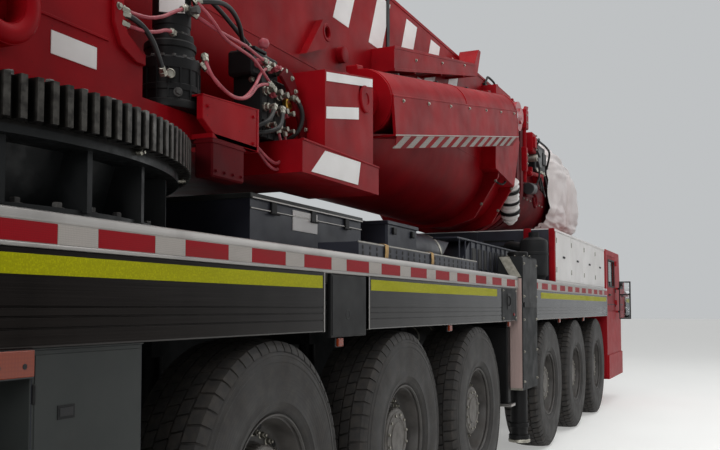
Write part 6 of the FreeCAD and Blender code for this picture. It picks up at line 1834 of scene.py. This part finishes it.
def cab_dress():
    front, roof = CAB_FRONT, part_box("cab_shell")[1].z
    work = Work()
    # rubber round the screen, two wipers with arms and blades
    lean = Matrix.Translation((front, 0, 1.40)) @ Matrix.Rotation(math.atan2(-0.18, 1.02), 4, "Y")
    for y in (-1.36, 1.36):
        work.block((-0.004, 0.010), (y - 0.022, y + 0.022), (0.19, 0.93), 0, 0.004, lean)
    for z in (0.19, 0.925):
        work.block((-0.004, 0.010), (-1.38, 1.38), (z - 0.02, z + 0.02), 0, 0.004, lean)
    for y in (-0.75, 0.55):
        work.turned([(0.03, 0), (0.03, 0.012), (0.02, 0.018), (0, 0.018)], (0.004, y, 0.12), AHEAD, 16, 1,
                lean)
        work.pipe([tuple(lean @ Vector((0.016, y, 0.12))), tuple(lean @ Vector((0.02, y + 0.2, 0.28))),
                   tuple(lean @ Vector((0.018, y + 0.42, 0.46)))], 0.008, 8, 1)
        work.block((0.006, 0.018), (-0.33, 0.33), (-0.006, 0.006), 0, 0.002,
                lean @ Matrix.Translation((0, y + 0.42, 0.46)) @ Matrix.Rotation(math.radians(48), 4, "X"))
    # front panel seams, grille bars' frame, steps in the bumper, tow eye and fog lamps
    work.block((front - 0.002, front + 0.004), (-1.30, 1.30), (1.375, 1.383), 0, 0.001)
    for y in (-0.72, 0.72):
        work.block((front - 0.006, front + 0.003), (y - 0.012, y + 0.012), (0.82, 1.31), 1, 0.003)
    for z in (0.82, 1.31):
        work.block((front - 0.006, front + 0.003), (-0.72, 0.72), (z - 0.012, z + 0.012), 1, 0.003)
    for sign in (-1, 1):
        work.block((front - 0.004, front + 0.003), across(sign, 0.86, 1.28), (0.64, 0.665), 1, 0.003)
        work.turned([(0.06, 0), (0.06, 0.006), (0.05, 0.008), (0.045, 0.002), (0, 0.002)],
                    (front - 0.004, sign * 1.12, 0.53), AHEAD, 24, 2)
        work.block((front - 0.004, front + 0.004), across(sign, 0.25, 0.40), (0.46, 0.60), 1, 0.006)
        # small lamps above the screen and on the roof
        work.block((front - 0.22, front - 0.17), across(sign, 1.10, 1.22), (roof, roof + 0.035), 4, 0.008)
        # mirror glass behind each mirror
        mirror_low, mirror_high = 1.545, 1.695
        work.block((12.423, 12.431), across(sign, mirror_low, mirror_high), (1.35, 1.72), 3, 0.003)
        work.block((12.423, 12.431), across(sign, mirror_low, mirror_high), (1.74, 1.93), 3, 0.003)
    work.block((front - 0.9, front - 0.2), (-0.35, 0.35), (roof, roof + 0.03), 1, 0.01)
    work.made("cab_trim", "carrier", "cab_red", SEAL, BLACK, CLEAR_LENS, MIRROR, AMBER)
    for side, sign in SIDES:
        work = Work()
        face = 1.48
        x0, x1 = DOOR_REAR + 0.11, DOOR_REAR + 0.79
        for x in (x0, x1):
            work.block((x - 0.012, x + 0.012), across(sign, face - 0.012, face + 0.006), (1.85, 2.27), 0,
                    0.003)
        for z in (1.85, 2.27):
            work.block((x0, x1), across(sign, face - 0.012, face + 0.006), (z - 0.012, z + 0.012), 0, 0.003)
        work.block((x0, x1), across(sign, face - 0.025, face - 0.02), (1.85, 2.27), 1, 0.001)
        work.block((x0 + 0.02, x0 + 0.18), across(sign, face, face + 0.008), (1.70, 1.735), 2, 0.006)
        work.pipe([(x0 + 0.04, sign * (face + 0.004), 1.717), (x0 + 0.06, sign * (face + 0.026), 1.717),
                (x0 + 0.14, sign * (face + 0.026), 1.717), (x0 + 0.16, sign * (face + 0.004), 1.717)], 0.008,
                8, 2)
        for z in (1.53, 1.76, 2.20):
            work.rod((DOOR_REAR + 0.86, sign * (face + 0.004), z), (DOOR_REAR + 0.86, sign * (face + 0.004),
                    z + 0.07), 0.009, 10, 2)
        work.block((DOOR_REAR + 0.03, DOOR_REAR + 0.83), across(sign, face, face + 0.003), (1.56, 1.575), 2,
                0.001)
        work.made(f"cab_door_trim_{side}", f"door_{side}", "cab_red", SEAL, GLASS, BLACK)


cab_dress()


def soft_form(name, body, slot, x, y, z, finish, channels=4, along=1):
    """A foam cushion over its frame: crowned faces, rounded corners and sewn channels on its broad side."""
    middle = Vector([(s[0] + s[1]) / 2 for s in (x, y, z)])
    half = [abs(s[1] - s[0]) / 2 * 1.10 for s in (x, y, z)]
    half[1] *= 0.99
    rows, around, power = 28, 64, 0.17

    def bent(value):
        return math.copysign(abs(value) ** power, value)

    points = []
    for i in range(1, rows):
        up = math.pi * (i / rows - 0.5)
        for k in range(around):
            turned = 2 * math.pi * k / around
            spot = Vector((bent(math.cos(up)) * bent(math.cos(turned)) * half[0],
                    bent(math.cos(up)) * bent(math.sin(turned)) * half[1], bent(math.sin(up)) * half[2]))
            share = spot[along] / half[along]
            groove = math.exp(-((share * channels / 2 % 1.0 - 0.5) / 0.09) ** 2)
            spot *= 1.0 - 0.012 * groove
            points.append(middle + spot)
    faces = skin(rows - 2, around)
    faces.append(list(range(around))[::-1])
    faces.append([(rows - 2) * around + k for k in range(around)])
    work = Work()
    work.put(points, faces)
    piece = work.made(name, body, slot, finish, sharp=60)


CAB_FLOOR = 1.40 + 0.06
BOOTH_FLOOR = 2.64
SEAT_HEIGHT = (CAB_FLOOR + 0.15, CAB_FLOOR + 0.26)
BACK_HEIGHT = (CAB_FLOOR + 0.15, CAB_FLOOR + 0.85)
BOOTH_SEAT_HEIGHT = (BOOTH_FLOOR + 0.39, BOOTH_FLOOR + 0.50)
BOOTH_BACK_HEIGHT = (BOOTH_FLOOR + 0.39, BOOTH_FLOOR + 1.10)
for side, sign in SIDES:
    span = (0.50 * sign, 1.00 * sign)
    soft_form(f"driver_seat_cushion_{side}", "carrier", "interior_plastic",
            (CAB_REAR + 0.18, CAB_REAR + 0.65), span, SEAT_HEIGHT, SEAT_CLOTH)
    soft_form(f"driver_seat_back_{side}", "carrier", "interior_plastic", (CAB_REAR + 0.07, CAB_REAR + 0.18),
            span, BACK_HEIGHT, SEAT_CLOTH, 5, 2)
soft_form("operator_seat_cushion", "booth", "crane_red", (0.80, 1.28), (0.99, 1.49), BOOTH_SEAT_HEIGHT,
        SEAT_CLOTH)
soft_form("operator_seat_back", "booth", "crane_red", (0.70, 0.81), (0.99, 1.49), BOOTH_BACK_HEIGHT,
        SEAT_CLOTH, 5, 2)


# Operator's cab: glass, rubbers, wiper, handles

def booth_dress():
    work = Work()
    low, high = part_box("operator_cab")
    front, inner, outer, roof = high.x - SLEW_X, low.y, high.y, high.z
    # front window and its rubber
    work.block((front - 0.03, front - 0.024), (0.96, 1.52), (2.89, 3.95), 1, 0.001)
    for y in (0.96, 1.52):
        work.block((front - 0.03, front + 0.006), (y - 0.012, y + 0.012), (2.88, 3.96), 0, 0.004)
    for z in (2.89, 3.95):
        work.block((front - 0.03, front + 0.006), (0.96, 1.52), (z - 0.012, z + 0.012), 0, 0.004)
    work.pipe([(front + 0.008, 1.24, 2.84), (front + 0.02, 1.24, 2.95), (front + 0.018, 1.30, 3.4)], 0.008,
            8, 2)
    work.block((front + 0.004, front + 0.014), (1.29, 1.31), (3.1, 3.7), 0, 0.003)
    # window towards the boom
    work.block((1.15, 1.83), (inner + 0.016, inner + 0.022), (3.14, 3.93), 1, 0.001)
    for x in (1.15, 1.83):
        work.block((x - 0.012, x + 0.012), (inner - 0.006, inner + 0.02), (3.13, 3.94), 0, 0.004)
    for z in (3.14, 3.93):
        work.block((1.15, 1.83), (inner - 0.006, inner + 0.02), (z - 0.012, z + 0.012), 0, 0.004)
    # grab rail, roof lamp, seams and vents behind
    work.pipe([(0.40, outer, 2.95), (0.40, outer + 0.035, 2.98), (0.40, outer + 0.035, 3.62),
               (0.40, outer, 3.65)], 0.012, 10, 2)
    work.block((0.26, 0.30), (1.0, 1.46), (3.9, 3.93), 2, 0.005)
    for k in range(8):
        z = 2.82 + k * 0.06
        work.block((low.x - SLEW_X - 0.006, low.x - SLEW_X + 0.004), (1.02, 1.44), (z, z + 0.03), 2, 0.003)
    work.block((1.70, 1.82), (1.02, 1.14), (roof, roof + 0.05), 4, 0.014)
    work.block((1.70, 1.82), (1.34, 1.46), (roof, roof + 0.05), 4, 0.014)
    work.block((0.5, 1.5), (0.98, 1.50), (roof, roof + 0.012), 3, 0.004)
    work.made("operator_cab_trim", "booth", "crane_red", SEAL, GLASS, BLACK, RED, CLEAR_LENS)
    work = Work()
    low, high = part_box("operator_door")
    face = high.y
    for x in (1.25, 1.79):
        work.block((x - 0.012, x + 0.012), (face - 0.02, face + 0.005), (3.24, 3.85), 0, 0.003)
    for z in (3.24, 3.85):
        work.block((1.25, 1.79), (face - 0.02, face + 0.005), (z - 0.012, z + 0.012), 0, 0.003)
    work.block((1.25, 1.79), (face - 0.019, face - 0.014), (3.24, 3.85), 1, 0.001)
    work.block((1.20, 1.24), (face, face + 0.012), (3.02, 3.16), 2, 0.005)
    work.block((1.165, 1.875), (face, face + 0.006), (2.74, 2.765), 2, 0.003)
    work.made("operator_door_trim", "booth_door", "crane_red", SEAL, GLASS, BLACK)


booth_dress()


# Under the deck: brake hoses, air tanks and clips

def underside():
    work = Work()
    for number in range(1, 9):
        for side, sign in SIDES:
            low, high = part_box(f"wheel_{number}_{side}")
            x = (low.x + high.x) / 2 - SLEW_X
            work.block((x - 0.05, x + 0.05), across(sign, 0.551, 0.575), (1.20, 1.32), 0, 0.006)
            for dx in (-0.03, 0.03):
                work.bolt((x + dx, sign * 0.575, 1.26), (0, sign, 0), 0.022, 1)
    for sign in (-1, 1):
        for x in (-0.3, 5.0):
            work.turned([(0.0, -0.42), (0.06, -0.41), (0.09, -0.38), (0.1, -0.34), (0.1, 0.34), (0.09, 0.38),
                         (0.06, 0.41), (0.0, 0.42)], (x, sign * 0.70, 1.25), AHEAD, 32, 2)
            for dx in (-0.2, 0.2):
                work.turned([(0.1, 0), (0.104, 0.003), (0.104, 0.03), (0.1, 0.033)],
                        (x + dx, sign * 0.70, 1.25), AHEAD, 32, 1, ends=False)
                work.block((x + dx, x + dx + 0.033), across(sign, 0.549, 0.62), (1.22, 1.28), 0, 0.004)
        work.pipe([(-4.6, sign * 0.565, 1.55), (-2.0, sign * 0.565, 1.54), (2.0, sign * 0.565, 1.55),
                   (6.9, sign * 0.565, 1.54)], 0.012, 8, 3, steps=4)
        work.pipe([(-4.6, sign * 0.565, 1.50), (-2.0, sign * 0.565, 1.49), (2.0, sign * 0.565, 1.50),
                   (6.9, sign * 0.565, 1.49)], 0.009, 8, 3, steps=4)
    work.made("air_tanks_and_frame_pipes", "carrier", "chassis_paint", CHASSIS, ZINC, BLACK, HOSE)


underside()


# Stage and light

FLOOR_GLOW = 0.47
# Strength of the world as light, and as what the camera, metal and glass see
WORLD_STRENGTH = (0.22, 0.64)
# Soft lamps: (name, place, aim, size across, size up, power, spread in degrees)
LAMPS = (("overhead", (3.0, -1.0, 13.0), (4.0, 0.0, 2.0), 24.0, 12.0, 1880.0, 180),
         ("ahead_right", (24.0, -12.0, 9.0), (6.0, 0.0, 2.0), 11.0, 8.0, 170.0, 110),
         ("behind_viewer", (-27.0, -6.0, 8.0), (1.0, -0.5, 2.5), 13.0, 8.0, 980.0, 110))


def stage():
    """A plain pale floor that takes the object's shadow, and soft light from all round."""
    mesh = bpy.data.meshes.new("floor")
    reach = 120
    mesh.from_pydata([(-reach, -reach, 0), (reach, -reach, 0), (reach, reach, 0), (-reach, reach, 0)], [],
                     [(0, 1, 2, 3)])
    floor = in_scene("floor", mesh)
    material, tree, shader, place = start("pale sealed concrete floor")
    tone = blend(cloudy(place, 900, 5.0), linear("#D6D6D4"), linear("#E2E2E0"))
    feed(shader, "Base Color", tone)
    # what the camera, mirrors and glass see of the floor is paler; it sends no more light to the object
    feed(shader, "Emission Color", tone)
    feed(shader, "Emission Strength", product(seen_directly(tree), FLOOR_GLOW))
    feed(shader, "Roughness", 0.6)
    mesh.materials.append(material)
    world = bpy.data.worlds.new("studio")
    bpy.context.scene.world = world
    world.use_nodes = True
    tree = world.node_tree
    background = tree.nodes["Background"]
    feed(background, "Strength", between(seen_directly(tree), 0.0, 1.0, *WORLD_STRENGTH))
    feed(background, "Color", linear("#E9ECEE"))
    for name, place, aim, wide, tall, power, spread in LAMPS:
        data = bpy.data.lights.new(name, "AREA")
        data.shape = "RECTANGLE"
        data.size = wide
        data.size_y = tall
        data.energy = power
        data.spread = math.radians(spread)
        lamp = in_scene(name, data)
        lamp.location = Vector(place) + Vector((SLEW_X, 0, 0))
        lamp.rotation_euler = (Vector(aim) - Vector(place)).to_track_quat("-Z", "Y").to_euler()
    bpy.context.scene.view_settings.view_transform = "Standard"


stage()
